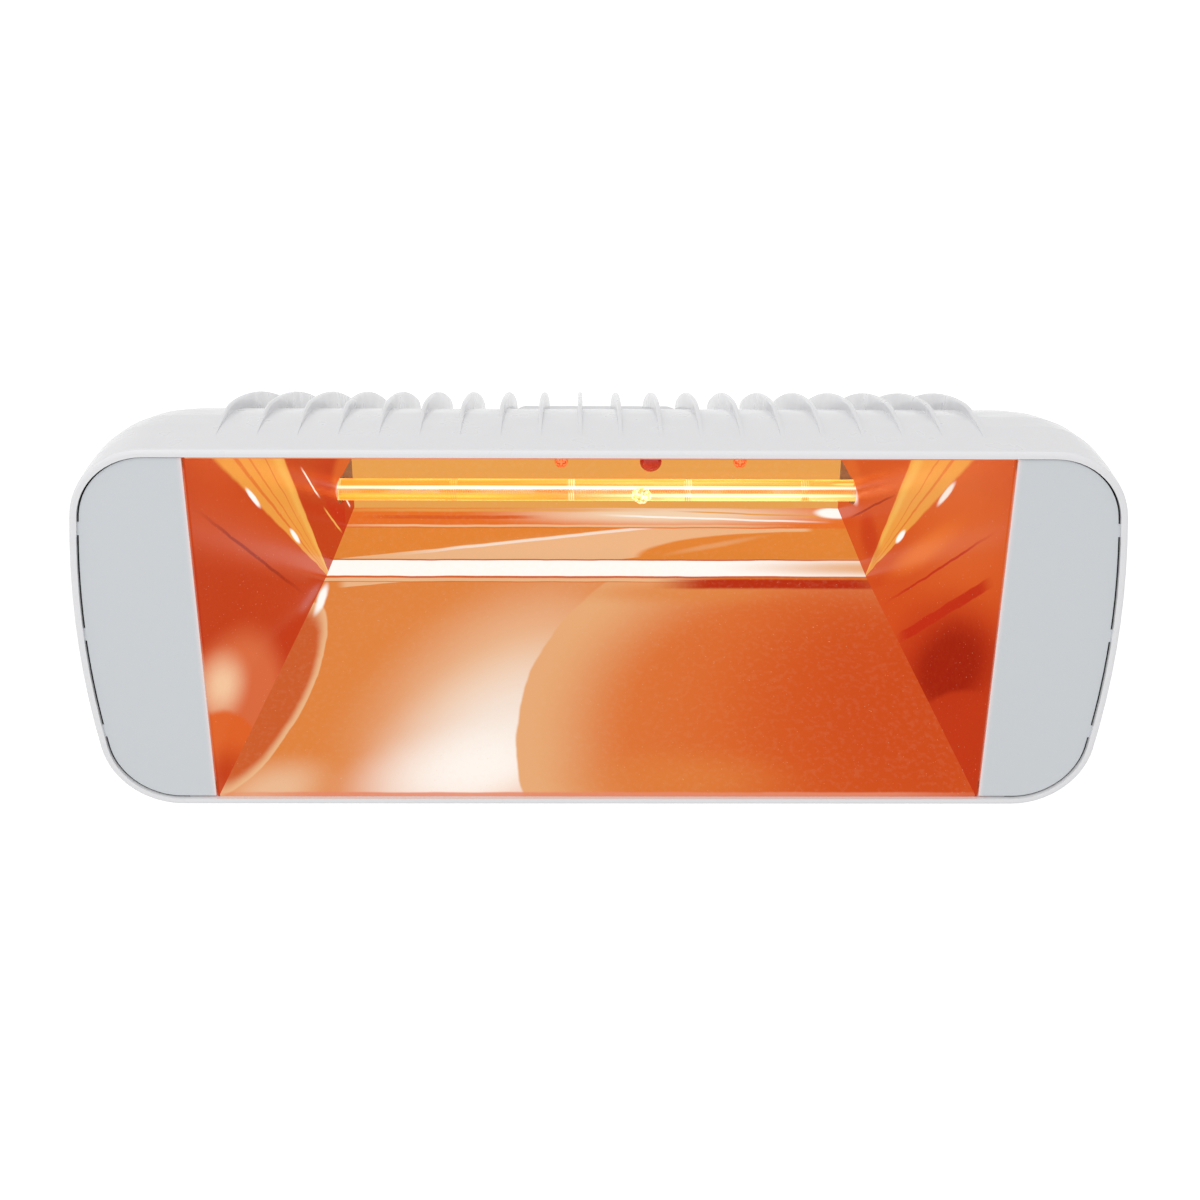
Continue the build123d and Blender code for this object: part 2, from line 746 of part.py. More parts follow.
def bracket_screws():
    """Screws that hold the bracket feet on the casting's pads."""
    return [screw(x, 0, bracket_pad_depth - bracket_sheet, small_screw,
                  bracket_sheet + screw_depth - 0.5)
            for side in (-1, 1) for x in bracket_screw_places(side)]


def terminal_block():
    """Ceramic two-pole block with lead holes at its ends and clamp-screw holes in its face."""
    half = block_length / 2
    front = block_pad_depth - block_thickness
    x_range = (wiring_x - half, wiring_x + half)
    body = block(x_range, (front, block_pad_depth), (-block_height / 2, block_height / 2))
    body = fillet(body.edges().filter_by(Axis.Y), 2.0)
    middle = (front + block_pad_depth) / 2
    for side in (-1, 1):
        ends = sorted((wiring_x + side * half, wiring_x + side * (half - 8)))
        body -= bar_across(middle, 0, lead_radius + 0.5, *ends)
        body -= bar_along_depth(wiring_x + side * (half - 4), 0, 2.2, front, middle - lead_radius)
    for x in block_screw_places():
        body -= bar_along_depth(x, 0, small_screw[0] + hole_clearance, front, block_pad_depth)
    return body


def terminal_screws():
    front = block_pad_depth - block_thickness
    half = block_length / 2
    return [bar_along_depth(wiring_x + side * (half - 4), 0, 2.0, front + 0.5, front + 4)
            for side in (-1, 1)]


def block_screws():
    front = block_pad_depth - block_thickness
    return [screw(x, 0, front, small_screw, block_thickness + screw_depth + 1) for x in block_screw_places()]


def earth_screw():
    """Screw and cup washer on the casting's earth post."""
    seat = block_pad_depth - 1
    washer = bar_along_depth(earth_x, 0, 4.2, seat, block_pad_depth)
    washer -= bar_along_depth(earth_x, 0, reflector_screw[0], seat, block_pad_depth)
    return screw(earth_x, 0, seat, reflector_screw, screw_depth + 2) + washer


def lead_points(side):
    """Route of one lamp lead from its contact strip round the bracket to the terminal block."""
    block_end = wiring_x + side * block_length / 2
    middle = block_pad_depth - block_thickness / 2
    strip_x = side * (holder_outer + strip_metal + lead_radius)
    strip_end = lamp_depth + holder_depth / 2 + 3
    low = side * bracket_x[0]
    reach = low - block_end
    return [
        (strip_x, strip_end, 0),
        (strip_x + side * 0.5, strip_end + 12, -3),
        (strip_x - side * 5, middle - 1, -11),
        (low + side * 12, middle + 4, -14),
        (low - side * 8, middle + 3, -13),
        (block_end + reach * 0.42, middle + 2, -9),
        (block_end + side * 9, middle + 0.5, -1),
        (block_end - side * 3, middle, 0),
    ]


def lamp_lead(side):
    """Insulated lead as straight runs joined by tangent arcs."""
    points = lead_points(side)
    path = FilletPolyline(*points, radius=lead_bend)
    start = Vector(*points[1]) - Vector(*points[0])
    section = Plane(origin=points[0], z_dir=start) * RegularPolygon(lead_radius, lead_sides)
    lead = sweep(section, path=path)
    print("lead volume", round(lead.volume), "section times length", round(section.area * path.length))
    return lead


def knuckle():
    """Flange on the rear pad with the tongue that takes the pivot bolt."""
    width, height, thickness = knuckle_flange
    flange = slab(RectangleRounded(width, height, 5), fin_depth, fin_depth + thickness)
    root = fin_depth + thickness
    lobe = Pos(pivot_depth, -pivot_drop) * Circle(lobe_radius)
    base = Pos(root - 1, -3) * Rectangle(2, height * 0.7)
    profile = make_hull((lobe + base).edges())
    tongue = cross_slab(profile, -tongue_width / 2, tongue_width / 2)
    tongue &= block((-width, width), (fin_depth + 1, wall_depth), (-half_height, half_height))
    piece = flange + tongue
    piece -= rod_across(pivot_depth, -pivot_drop, pivot_radius + running_clearance, -width, width)
    for x, z in knuckle_screw_places():
        piece -= bar_along_depth(x, z, casting_screw[0] + 0.3, fin_depth, root)
    return piece


def knuckle_screws():
    """Socket-head screws through the flange into the casting."""
    shank, head, head_height = casting_screw
    back = fin_depth + knuckle_flange[2]
    screws = []
    for x, z in knuckle_screw_places():
        body = bar_along_depth(x, z, shank, fin_depth - knuckle_screw_depth + 0.5, back)
        body += bar_along_depth(x, z, head, back, back + head_height, ring_sides)
        socket = Pos(x, z) * hex_bar(5.0)
        screws.append(body - slab(socket, back + head_height / 2, back + head_height))
    return screws


def ear_inner_x():
    return tongue_width / 2 + disc_gap + disc_thickness


def wall_fork():
    """Welded bracket: wall plate with four holes and two ears for the pivot."""
    width, height, thickness = wall_plate
    middle = -plate_top_drop - height / 2
    plate = Pos(0, middle) * RectangleRounded(width, height, plate_corner)
    across, up = wall_hole_spacing
    for x in (-across / 2, across / 2):
        for z in (-up / 2, up / 2):
            plate -= Pos(x, middle + z) * Circle(wall_hole_radius)
    fork = slab(plate, wall_depth - thickness, wall_depth)
    foot = Pos(wall_depth - thickness / 2, middle) * Rectangle(thickness, height - 2 * ear_foot_margin)
    lobe = Pos(pivot_depth, -pivot_drop) * Circle(lobe_radius)
    ear = make_hull((foot + lobe).edges()) - Pos(pivot_depth, -pivot_drop) * Circle(pivot_radius + 0.2)
    for side in (-1, 1):
        span = sorted((side * ear_inner_x(), side * (ear_inner_x() + ear_thickness)))
        fork += cross_slab(ear, *span)
    return fork


def friction_discs():
    disc = RegularPolygon(disc_radius, ring_sides) - Circle(pivot_radius + 0.1)
    disc = Pos(pivot_depth, -pivot_drop) * disc
    low = tongue_width / 2 + disc_gap
    return [cross_slab(disc, low, low + disc_thickness), cross_slab(disc, -low - disc_thickness, -low)]


def pivot_washers():
    ring = RegularPolygon(washer_radius, ring_sides) - Circle(pivot_radius + 0.2)
    ring = Pos(pivot_depth, -pivot_drop) * ring
    low = ear_inner_x() + ear_thickness
    high = low + washer_thickness
    return [cross_slab(ring, low, high), cross_slab(ring, -high, -low)]


def pivot_bolt():
    """Hexagon bolt through both ears and the tongue."""
    seat = ear_inner_x() + ear_thickness + washer_thickness
    across, height = bolt_head
    tail = -seat - lock_nut[1] - bolt_tail
    head = cross_slab(Pos(pivot_depth, -pivot_drop) * hex_bar(across), seat, seat + height)
    return head + rod_across(pivot_depth, -pivot_drop, pivot_radius, tail, seat)


def pivot_nut():
    """Self-locking nut with its rounded collar."""
    seat = -(ear_inner_x() + ear_thickness + washer_thickness)
    across, height = lock_nut
    centre = Pos(pivot_depth, -pivot_drop)
    nut = cross_slab(centre * hex_bar(across), seat - height * 0.7, seat)
    collar = RegularPolygon(across * 0.44, ring_sides)
    nut += cross_slab(centre * collar, seat - height, seat - height * 0.7)
    return nut - rod_across(pivot_depth, -pivot_drop, pivot_radius + 0.02, seat - height, seat)


def gland_body():
    """Threaded body of the cable gland with its hexagon flange."""
    front = fin_depth - gland_inside
    flange_back = fin_depth + gland_flange
    collar_back = flange_back + gland_collar
    body = bar_along_depth(gland_x, 0, gland_thread_radius, front, collar_back, ring_sides)
    body += slab(Pos(gland_x, 0) * hex_bar(gland_hex), fin_depth, flange_back)
    return body - bar_along_depth(gland_x, 0, gland_bore_radius, front, collar_back, ring_sides)


def gland_seal():
    back = fin_depth + gland_flange + gland_collar
    ring = RegularPolygon(gland_bore_radius, ring_sides) - RegularPolygon(seal_bore_radius, ring_sides)
    return slab(Pos(gland_x, 0) * ring, back - gland_collar, back)


def gland_nut():
    """Domed clamping nut with the cable's hole in its end."""
    front = fin_depth + gland_flange + 0.5
    back = front + gland_nut_length
    collar_back = fin_depth + gland_flange + gland_collar
    hexagon = slab(Pos(gland_x, 0) * hex_bar(gland_hex), front, back - gland_nut_end)
    dome = bar_along_depth(gland_x, 0, gland_nut_radius, front, back, ring_sides)
    dome = chamfer(dome.edges().group_by(Axis.Y)[-1], gland_nut_end * 0.6)
    nut = hexagon + dome
    nut -= bar_along_depth(gland_x, 0, gland_thread_radius + 0.05, front, collar_back, ring_sides)
    return nut - rod_along_depth(gland_x, 0, cable_hole_radius, collar_back, back)


def both_sides(name, make):
    """Left and right pieces of one design, with the left one at -X."""
    return {f"left_{name}": make(-1), f"right_{name}": make(1)}


def pieces():
    """Every node's solid, or list of like solids, in the drawing frame."""
    made = {
        "wall_fork": wall_fork(),
        "pivot_bolt": pivot_bolt(),
        "pivot_nut": pivot_nut(),
        "pivot_washers": pivot_washers(),
        "friction_discs": friction_discs(),
        "housing": housing(),
        "knuckle": knuckle(),
        "knuckle_screws": knuckle_screws(),
        "gland_body": gland_body(),
        "gland_seal": gland_seal(),
        "gland_nut": gland_nut(),
        "panel_nuts": panel_nuts(),
        "reflector_trough": reflector_trough(),
        "reflector_screws": reflector_screws(),
        "reflector_plug": reflector_plug(),
        "lamp_tube": lamp_tube(),
        "lamp_filament": lamp_filament(),
        "lamp_supports": lamp_supports(),
        "holder_screws": holder_screws(),
        "bracket_screws": bracket_screws(),
        "terminal_block": terminal_block(),
        "terminal_screws": terminal_screws(),
        "block_screws": block_screws(),
        "earth_screw": earth_screw(),
    }
    made.update(both_sides("end_panel", end_panel))
    made.update(both_sides("panel_gasket", panel_gasket))
    made.update(both_sides("reflector_end", reflector_end))
    made.update(both_sides("lamp_cap", lamp_cap))
    made.update(both_sides("lamp_holder", lamp_holder))
    made.update(both_sides("contact_strip", contact_strip))
    made.update(both_sides("holder_bracket", holder_bracket))
    made.update(both_sides("lamp_lead", lamp_lead))
    return made


def main():
    os.makedirs("parts", exist_ok=True)
    plate_middle = plate_top_drop + wall_plate[1] / 2
    to_wall = Pos(0, -wall_depth, plate_middle)
    for name, shape in pieces().items():
        solids = []
        for item in shape if isinstance(shape, list) else [shape]:
            solids.extend((to_wall * item).solids())
        whole = solids[0] if len(solids) == 1 else Compound(children=solids)
        whole.label = name
        export_step(whole, f"parts/{name}.step")
        print(name, len(solids), round(whole.volume))


main()
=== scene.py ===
"""Looks of an infrared wall heater: a finned casting, a glowing trough reflector and its halogen tube."""

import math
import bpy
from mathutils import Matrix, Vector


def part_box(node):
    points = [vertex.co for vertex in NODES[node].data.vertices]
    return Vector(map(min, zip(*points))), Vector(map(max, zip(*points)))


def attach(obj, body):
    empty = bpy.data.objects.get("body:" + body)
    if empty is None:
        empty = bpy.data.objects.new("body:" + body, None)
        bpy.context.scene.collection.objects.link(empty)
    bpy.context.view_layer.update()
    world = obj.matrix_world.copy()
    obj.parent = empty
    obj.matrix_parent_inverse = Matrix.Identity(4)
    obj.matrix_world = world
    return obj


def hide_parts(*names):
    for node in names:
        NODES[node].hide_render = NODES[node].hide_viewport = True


bl_info = {
    "name": "Infrared Wall Heater",
    "version": (1, 0, 0),
    "blender": (4, 5, 0),
    "location": "View3D > Sidebar > Heater",
    "description": "Dresses a wall heater's pieces and sets them on a pale stage",
    "category": "Object",
}

import bmesh
import bpy
from bpy.props import FloatProperty, FloatVectorProperty, IntProperty, PointerProperty
from mathutils import Matrix, Vector, noise

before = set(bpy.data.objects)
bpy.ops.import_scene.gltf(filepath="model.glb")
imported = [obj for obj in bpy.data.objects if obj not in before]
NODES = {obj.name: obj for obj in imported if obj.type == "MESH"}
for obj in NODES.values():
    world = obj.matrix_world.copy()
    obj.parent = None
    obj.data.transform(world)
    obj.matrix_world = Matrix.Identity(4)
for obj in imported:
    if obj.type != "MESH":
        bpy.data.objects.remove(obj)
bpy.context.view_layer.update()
MM = 0.001

# Bodies that the pieces ride on
HEAD = "head"
BRACKET = "wall_bracket"

# Places read from the frame: the open face, the lamp's axis and the middle of the open face
FACE_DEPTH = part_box("housing")[0].y
LAMP_LOW, LAMP_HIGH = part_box("lamp_filament")
LAMP_Y = (LAMP_LOW.y + LAMP_HIGH.y) / 2
LAMP_Z = (LAMP_LOW.z + LAMP_HIGH.z) / 2
FACE_CENTRE = Vector((0, FACE_DEPTH, LAMP_Z))

# Colours of the lit surfaces, painted as light given off: the lamp's light, its reflections and the shade
# between them
WHITE_HOT = (1.06, 1.02, 0.96)
CREAM = (0.95, 0.83, 0.73)
PEACH = (0.88, 0.58, 0.36)
GOLD = (0.86, 0.47, 0.10)
AMBER = (0.82, 0.34, 0.06)
TAN = (0.80, 0.37, 0.085)
ORANGE = (0.76, 0.24, 0.055)
BURNT_ORANGE = (0.70, 0.12, 0.022)
BRICK = (0.62, 0.075, 0.014)
RUSSET = (0.50, 0.038, 0.009)
RED = (0.50, 0.022, 0.008)
DARK_RED = (0.30, 0.010, 0.004)
PINK = (0.80, 0.26, 0.15)
CORAL = (0.68, 0.153, 0.056)
FAWN = (0.82, 0.42, 0.19)
HONEY = (0.86, 0.51, 0.27)
BISCUIT = (0.92, 0.68, 0.46)
TERRACOTTA = (0.737, 0.185, 0.042)
TANGERINE = (0.817, 0.174, 0.025)
OCHRE = (0.765, 0.24, 0.039)
UMBER = (0.62, 0.12, 0.03)
MAROON = (0.48, 0.03, 0.008)

# Outer edge of the cooling fins in millimetres, behind the open face and over the lamp's level: flat from
# its start, ever steeper past the bend, then an arc round the nose. The nose's turn is in degrees.
FIN_TOP = 86.0
FIN_START = 26.0
FIN_BEND = 53.5
FIN_EASE = 7.0
FIN_SLOPE = 0.24
FIN_CURVE = 0.00084
FIN_NOSE_START = 203.0
FIN_NOSE_CENTRE = (192.9, 10.8)
FIN_NOSE_RADIUS = 24.0
FIN_NOSE_TURN = 41.0
FIN_STEPS = 40
FIN_NOSE_STEPS = 8

# How far the fins' feet reach into the casting, and how the blades thin towards the front
FIN_FOOT = 1.5
FIN_NOSE_FOOT = 7.5
FIN_TAPER_RUN = 45.0
FIN_FRONT_SHARE = 0.75

# Rounded edge of a blade: share of half its thickness, and drop below the edge in millimetres
FIN_CROWN = ((1, 1.0), (0.86, 0.45), (0.45, 0.1), (0, 0.0), (-0.45, 0.1), (-0.86, 0.45), (-1, 1.0))

# The solid's own fins, between these depths and out to this width, end this far under the blades' edge
FIN_CUT = (43.5, 211.9)
FIN_REACH = 162.5
FIN_COVER = 0.5

# Top of the casting itself: its flat stretch, the radius of its bend and the slope behind it in degrees
CASTING_FLAT = 14.0
CASTING_BEND = 180.0
CASTING_SLOPE = 21.25

# Ends of the quartz tube: way in from the end in millimetres, and share of the radius there
TUBE_END = ((0.0, 0.5), (1.0, 0.85), (3.0, 1.0))

# Pinched ends in millimetres: way out from the round part's end, then half the depth and half the height.
# The last pair of half sizes is at the pinch's own end.
PINCH_STARTS = ((-1.5, 2.6, 4.6), (3.0, 1.5, 4.9))
PINCH_END = (1.5, 4.95)
PINCH_SIDES = 24

# Exhaust tip in millimetres: X, depth behind the tube's front and drop below its axis, then its half sizes,
# and the height and fineness of its lumps
TIP_PLACE = (22.5, 3.2, 0.6)
TIP_SIZE = (4.6, 3.2, 4.1)
TIP_LUMPS = ((0.22, 2.6), (0.10, 6.5))

# Winding of the filament: points in a turn, and sides of the wire
COIL_STEPS = 12
COIL_SIDES = 5

# Wire supports of the filament: half the solid's length, the winding's length, points in a turn, points
# past the last turn and sides of the wire. It starts at an inner share of its radius and opens out in steps.
SUPPORT_COUNT = 5
SUPPORT_HALF = 0.5 * MM
SUPPORT_RUN = 3.4 * MM
SUPPORT_STEPS = 20
SUPPORT_TAIL = 9
SUPPORT_SIDES = 6
SUPPORT_INNER = 0.25
SUPPORT_OPENING = 12

# Cross-head screws in millimetres: height of the head, radius and length of the shank, and its sides
HEAD_HEIGHT = 2.2
SHANK_RADIUS = 2.0
SHANK_LENGTH = 14.0
SHANK_SIDES = 24

# Wall fork in millimetres: its sheet, the height of its ears and the radius of their corners
FORK_SHEET = 4.0
EAR_HEIGHT = 70.0
EAR_CORNER = 7.0

# Weld beads along the ears in millimetres: gap at the corner, radius, heights of ripples and of lumps
WELD_GAP = 1.5
WELD_RADIUS = 1.25
WELD_RIPPLE = 0.16
WELD_LUMP = 0.08
WELD_END_RADIUS = 0.3
WELD_STEPS = 90
WELD_SIDES = 12

# Lamps of the stage: name, place from the middle of the open face and width, both in metres
KEY_LAMP = ("key", (-0.4, -1.55, 1.25), 1.4)
FILL_LAMPS = (("left fill", (-1.8, -0.4, 0.5), 1.2), ("right fill", (1.8, -0.6, 0.4), 1.2))

# Light that the floor adds where it is seen, and the width of the camera's sensor in millimetres
FLOOR_GLOW = 0.6
SENSOR_WIDTH = 36.0


# Shader helpers


def add(tree, kind, options=None, values=None):
    """Adds a node to a tree. A value that is a socket is linked, any other is set."""
    node = tree.nodes.new(kind)
    for name, value in (options or {}).items():
        setattr(node, name, value)
    for name, value in (values or {}).items():
        if isinstance(value, bpy.types.NodeSocket):
            tree.links.new(value, node.inputs[name])
        else:
            node.inputs[name].default_value = value
    return node


def math_node(tree, operation, first, second=0.0):
    """Result of one sum. Either value may be a socket."""
    return add(tree, "ShaderNodeMath", {"operation": operation}, {0: first, 1: second}).outputs[0]


def mix_colour(tree, factor, first, second):
    """Colour that turns from the first to the second as the factor rises."""
    node = add(tree, "ShaderNodeMix", {"data_type": "RGBA"})
    for index, value in ((0, factor), (6, first), (7, second)):
        if isinstance(value, bpy.types.NodeSocket):
            tree.links.new(value, node.inputs[index])
        else:
            node.inputs[index].default_value = value if index == 0 else (*value[:3], 1.0)
    return node.outputs[2]


def ramp_value(tree, value, low, high, to_low=0.0, to_high=1.0):
    """Smooth step of a value between two limits."""
    node = add(tree, "ShaderNodeMapRange", {"interpolation_type": "SMOOTHSTEP"},
               {"Value": value, "From Min": low, "From Max": high, "To Min": to_low, "To Max": to_high})
    return node.outputs[0]


def noise_node(tree, place, scale, detail=2.0):
    """Smooth noise, its scale a fineness per unit of the place."""
    return add(tree, "ShaderNodeTexNoise", None, {"Vector": place, "Scale": scale, "Detail": detail})


def new_group(name, inputs, outputs):
    """Empty shader group with named sockets, and its input and output nodes."""
    tree = bpy.data.node_groups.new(name, "ShaderNodeTree")
    for label, kind, value in inputs:
        socket = tree.interface.new_socket(name=label, in_out="INPUT", socket_type=kind)
        if value is not None:
            socket.default_value = value
    for label, kind in outputs:
        tree.interface.new_socket(name=label, in_out="OUTPUT", socket_type=kind)
    return tree, tree.nodes.new("NodeGroupInput"), tree.nodes.new("NodeGroupOutput")


STROKE_INPUTS = [
    ("Place", "NodeSocketVector", None),
    ("Centre", "NodeSocketVector", None),
    ("Size", "NodeSocketVector", (1.0, 1.0, 1.0)),
    ("Turn", "NodeSocketFloat", 0.0),
    ("Edge", "NodeSocketFloat", 0.5),
    ("Strength", "NodeSocketFloat", 1.0),
]


def new_stroke(name):
    """Empty group for a stroke, and the place measured from its centre in its own direction."""
    tree, start, end = new_group(name, STROKE_INPUTS, [("Mask", "NodeSocketFloat")])
    offset = add(tree, "ShaderNodeVectorMath", {"operation": "SUBTRACT"},
                 {0: start.outputs["Place"], 1: start.outputs["Centre"]})
    turned = add(tree, "ShaderNodeVectorRotate", {"rotation_type": "Z_AXIS", "invert": True},
                 {"Vector": offset.outputs[0], "Angle": start.outputs["Turn"]})
    return tree, start, end, turned.outputs[0]


def sized_place(tree, start, place):
    """Place as a share of a stroke's half sizes."""
    return add(tree, "ShaderNodeVectorMath", {"operation": "DIVIDE"},
               {0: place, 1: start.outputs["Size"]}).outputs[0]


def soft_limit(tree, share, edge):
    """1 well inside a share of 1, falling to 0 at it over the given edge."""
    inner = math_node(tree, "SUBTRACT", 1.0, edge)
    return ramp_value(tree, share, inner, 1.0, 1.0, 0.0)


def put_out(tree, start, end, mask):
    """Ends a stroke's group with its mask at the stroke's strength."""
    tree.links.new(math_node(tree, "MULTIPLY", mask, start.outputs["Strength"]), end.inputs["Mask"])
    return tree


def make_soft_patch():
    """Group: oval patch of light with a soft edge."""
    tree, start, end, place = new_stroke("soft patch")
    reach = add(tree, "ShaderNodeVectorMath", {"operation": "LENGTH"},
                {0: sized_place(tree, start, place)})
    return put_out(tree, start, end, soft_limit(tree, reach.outputs["Value"], start.outputs["Edge"]))


def make_soft_band():
    """Group: straight band of light with soft sides and ends."""
    tree, start, end, place = new_stroke("soft band")
    size = add(tree, "ShaderNodeVectorMath", {"operation": "ABSOLUTE"},
               {0: sized_place(tree, start, place)})
    parts = add(tree, "ShaderNodeSeparateXYZ", None, {0: size.outputs[0]})
    along, across = (soft_limit(tree, parts.outputs[axis], start.outputs["Edge"]) for axis in (0, 1))
    return put_out(tree, start, end, math_node(tree, "MULTIPLY", along, across))


def make_soft_fan():
    """Group: fan of light that spreads from an apex, its width a share of the way along it."""
    nearest, end_edge = 0.01, 0.3
    tree, start, end, place = new_stroke("soft fan")
    parts = add(tree, "ShaderNodeSeparateXYZ", None, {0: place})
    size = add(tree, "ShaderNodeSeparateXYZ", None, {0: start.outputs["Size"]})
    ahead = math_node(tree, "MAXIMUM", parts.outputs[0], nearest)
    slope = math_node(tree, "DIVIDE", math_node(tree, "ABSOLUTE", parts.outputs[1]), ahead)
    across = soft_limit(tree, math_node(tree, "DIVIDE", slope, size.outputs[1]), start.outputs["Edge"])
    along = soft_limit(tree, math_node(tree, "DIVIDE", ahead, size.outputs[0]), end_edge)
    return put_out(tree, start, end, math_node(tree, "MULTIPLY", along, across))


def make_fine_skin():
    """Group: fine bumps of paint, moulding or casting, with slow waves under them."""
    inputs = [
        ("Place", "NodeSocketVector", None),
        ("Grain", "NodeSocketFloat", 1500.0),
        ("Wave", "NodeSocketFloat", 90.0),
        ("Wave Share", "NodeSocketFloat", 0.4),
    ]
    tree, start, end = new_group("fine skin", inputs,
                                 [("Height", "NodeSocketFloat"), ("Mottle", "NodeSocketFloat")])
    grain = noise_node(tree, start.outputs["Place"], start.outputs["Grain"])
    wave = noise_node(tree, start.outputs["Place"], start.outputs["Wave"])
    blend = add(tree, "ShaderNodeMix", {"data_type": "FLOAT"},
                {0: start.outputs["Wave Share"], 2: grain.outputs[0], 3: wave.outputs[0]})
    tree.links.new(blend.outputs[0], end.inputs["Height"])
    tree.links.new(wave.outputs[0], end.inputs["Mottle"])
    return tree


def make_streaks():
    """Group: long thin streaks along X of a stretched place."""
    inputs = [
        ("Place", "NodeSocketVector", None),
        ("Along", "NodeSocketFloat", 0.02),
        ("Across", "NodeSocketFloat", 0.6),
    ]
    tree, start, end = new_group("streaks", inputs, [("Streak", "NodeSocketFloat")])
    stretch = add(tree, "ShaderNodeCombineXYZ", None,
                  {0: start.outputs["Along"], 1: start.outputs["Across"], 2: start.outputs["Across"]})
    place = add(tree, "ShaderNodeVectorMath", {"operation": "MULTIPLY"},
                {0: start.outputs["Place"], 1: stretch.outputs[0]})
    lines = noise_node(tree, place.outputs[0], 1.0, 3.0)
    tree.links.new(ramp_value(tree, lines.outputs[0], 0.38, 0.62), end.inputs["Streak"])
    return tree


def make_glitter():
    """Group: tiny bright specks over a rolled mirror sheet, laid as painted light."""
    speck_edge = 0.08
    inputs = [
        ("Place", "NodeSocketVector", None),
        ("Scale", "NodeSocketFloat", 0.9),
        ("Rarity", "NodeSocketFloat", 0.72),
    ]
    tree, start, end = new_group("glitter", inputs, [("Speck", "NodeSocketFloat")])
    specks = noise_node(tree, start.outputs["Place"], start.outputs["Scale"], 1.0)
    top = math_node(tree, "ADD", start.outputs["Rarity"], speck_edge)
    tree.links.new(ramp_value(tree, specks.outputs[0], start.outputs["Rarity"], top), end.inputs["Speck"])
    return tree


GROUPS = {}


def group(name):
    """Shared shader group, built the first time that it is asked for."""
    makers = {"soft patch": make_soft_patch, "soft band": make_soft_band, "soft fan": make_soft_fan,
              "fine skin": make_fine_skin, "streaks": make_streaks, "glitter": make_glitter}
    if name not in GROUPS:
        GROUPS[name] = makers[name]()
    return GROUPS[name]


def use_group(tree, name, values):
    """Places a shared group in a tree with values of its own."""
    return add(tree, "ShaderNodeGroup", {"node_tree": group(name)}, values)


def new_material(name, base, roughness=0.5, metallic=0.0, **sockets):
    """Material with one Principled shader. Socket names are given with underscores."""
    material = bpy.data.materials.new(name)
    material.use_nodes = True
    tree = material.node_tree
    shader = tree.nodes["Principled BSDF"]
    shader.inputs["Base Color"].default_value = (*base[:3], 1.0)
    shader.inputs["Roughness"].default_value = roughness
    shader.inputs["Metallic"].default_value = metallic
    # light that a surface gives off is found by bounces alone, which leaves the white paint cleaner
    material.cycles.emission_sampling = "NONE"
    for label, value in sockets.items():
        shader.inputs[label.replace("_", " ").title().replace("Ior", "IOR")].default_value = value
    return material, tree, shader


def object_place(tree):
    """The piece's own place in metres."""
    return add(tree, "ShaderNodeTexCoord").outputs["Object"]


def plane_place(tree, across, up):
    """Place in millimetres along two axes, each "width", "depth" or "height".

    Width is measured from the middle, depth from the open face, and height from the lamp's level.
    """
    parts = add(tree, "ShaderNodeSeparateXYZ", None, {0: object_place(tree)})
    axes = {}
    for index, (axis, origin) in enumerate((("width", 0.0), ("depth", FACE_DEPTH), ("height", LAMP_Z))):
        node = add(tree, "ShaderNodeMath", {"operation": "MULTIPLY_ADD"},
                   {0: parts.outputs[index], 1: 1 / MM, 2: -origin / MM})
        axes[axis] = node.outputs[0]
    return add(tree, "ShaderNodeCombineXYZ", None, {0: axes[across], 1: axes[up]}).outputs[0]


def way_out(tree):
    """Way from the heater's middle to either side, in metres."""
    parts = add(tree, "ShaderNodeSeparateXYZ", None, {0: object_place(tree)})
    return math_node(tree, "ABSOLUTE", parts.outputs[0])


def add_bump(tree, shader, height, depth, strength=1.0):
    """Bump from a height, of a depth in metres."""
    bump = add(tree, "ShaderNodeBump", None, {"Strength": strength, "Distance": depth, "Height": height})
    tree.links.new(bump.outputs[0], shader.inputs["Normal"])
    return bump


def add_skin(tree, shader, grain, wave, share, depth, mottle=0.0, radius=0.0):
    """Bump of a fine skin, a roughness that wanders with it, and edges softened to a radius.

    grain and wave are the fineness per metre of the small and the slow bumps, and share is the slow
    bumps' part of the height.
    """
    skin = use_group(tree, "fine skin", {"Place": object_place(tree), "Grain": grain, "Wave": wave,
                                         "Wave Share": share})
    bump = add_bump(tree, shader, skin.outputs["Height"], depth)
    if radius:
        bevel = add(tree, "ShaderNodeBevel", {"samples": 4}, {"Radius": radius})
        tree.links.new(bevel.outputs[0], bump.inputs["Normal"])
    if mottle:
        level = shader.inputs["Roughness"].default_value
        spread = ramp_value(tree, skin.outputs["Mottle"], 0.3, 0.7, level - mottle, level + mottle)
        tree.links.new(spread, shader.inputs["Roughness"])
    return skin


def mottled_glow(tree, shader, scale, low, high, first, second):
    """Light given off in two tints that change over the surface."""
    spots = noise_node(tree, object_place(tree), scale)
    colour = mix_colour(tree, ramp_value(tree, spots.outputs[0], low, high), first, second)
    tree.links.new(colour, shader.inputs["Emission Color"])


def paint(tree, place, ground, strokes):
    """Lays soft patches, bands and fans of colour over a ground colour, in the order given."""
    colour = ground
    for shape, centre, size, turn, edge, strength, tint in strokes:
        mask = use_group(tree, "soft " + shape, {
            "Place": place, "Centre": (*centre, 0.0), "Size": (*size, 1000.0),
            "Turn": math.radians(turn), "Edge": edge, "Strength": strength})
        colour = mix_colour(tree, mask.outputs[0], colour, tint)
    return colour


def both_sides(piece):
    """Names of a piece that is there on the left and on the right."""
    return "left_" + piece, "right_" + piece


def dress(material, *names):
    """Gives a material to CAD pieces by node name."""
    for name in names:
        piece = NODES[name]
        piece.data.materials.clear()
        piece.data.materials.append(material)


# Mesh helpers


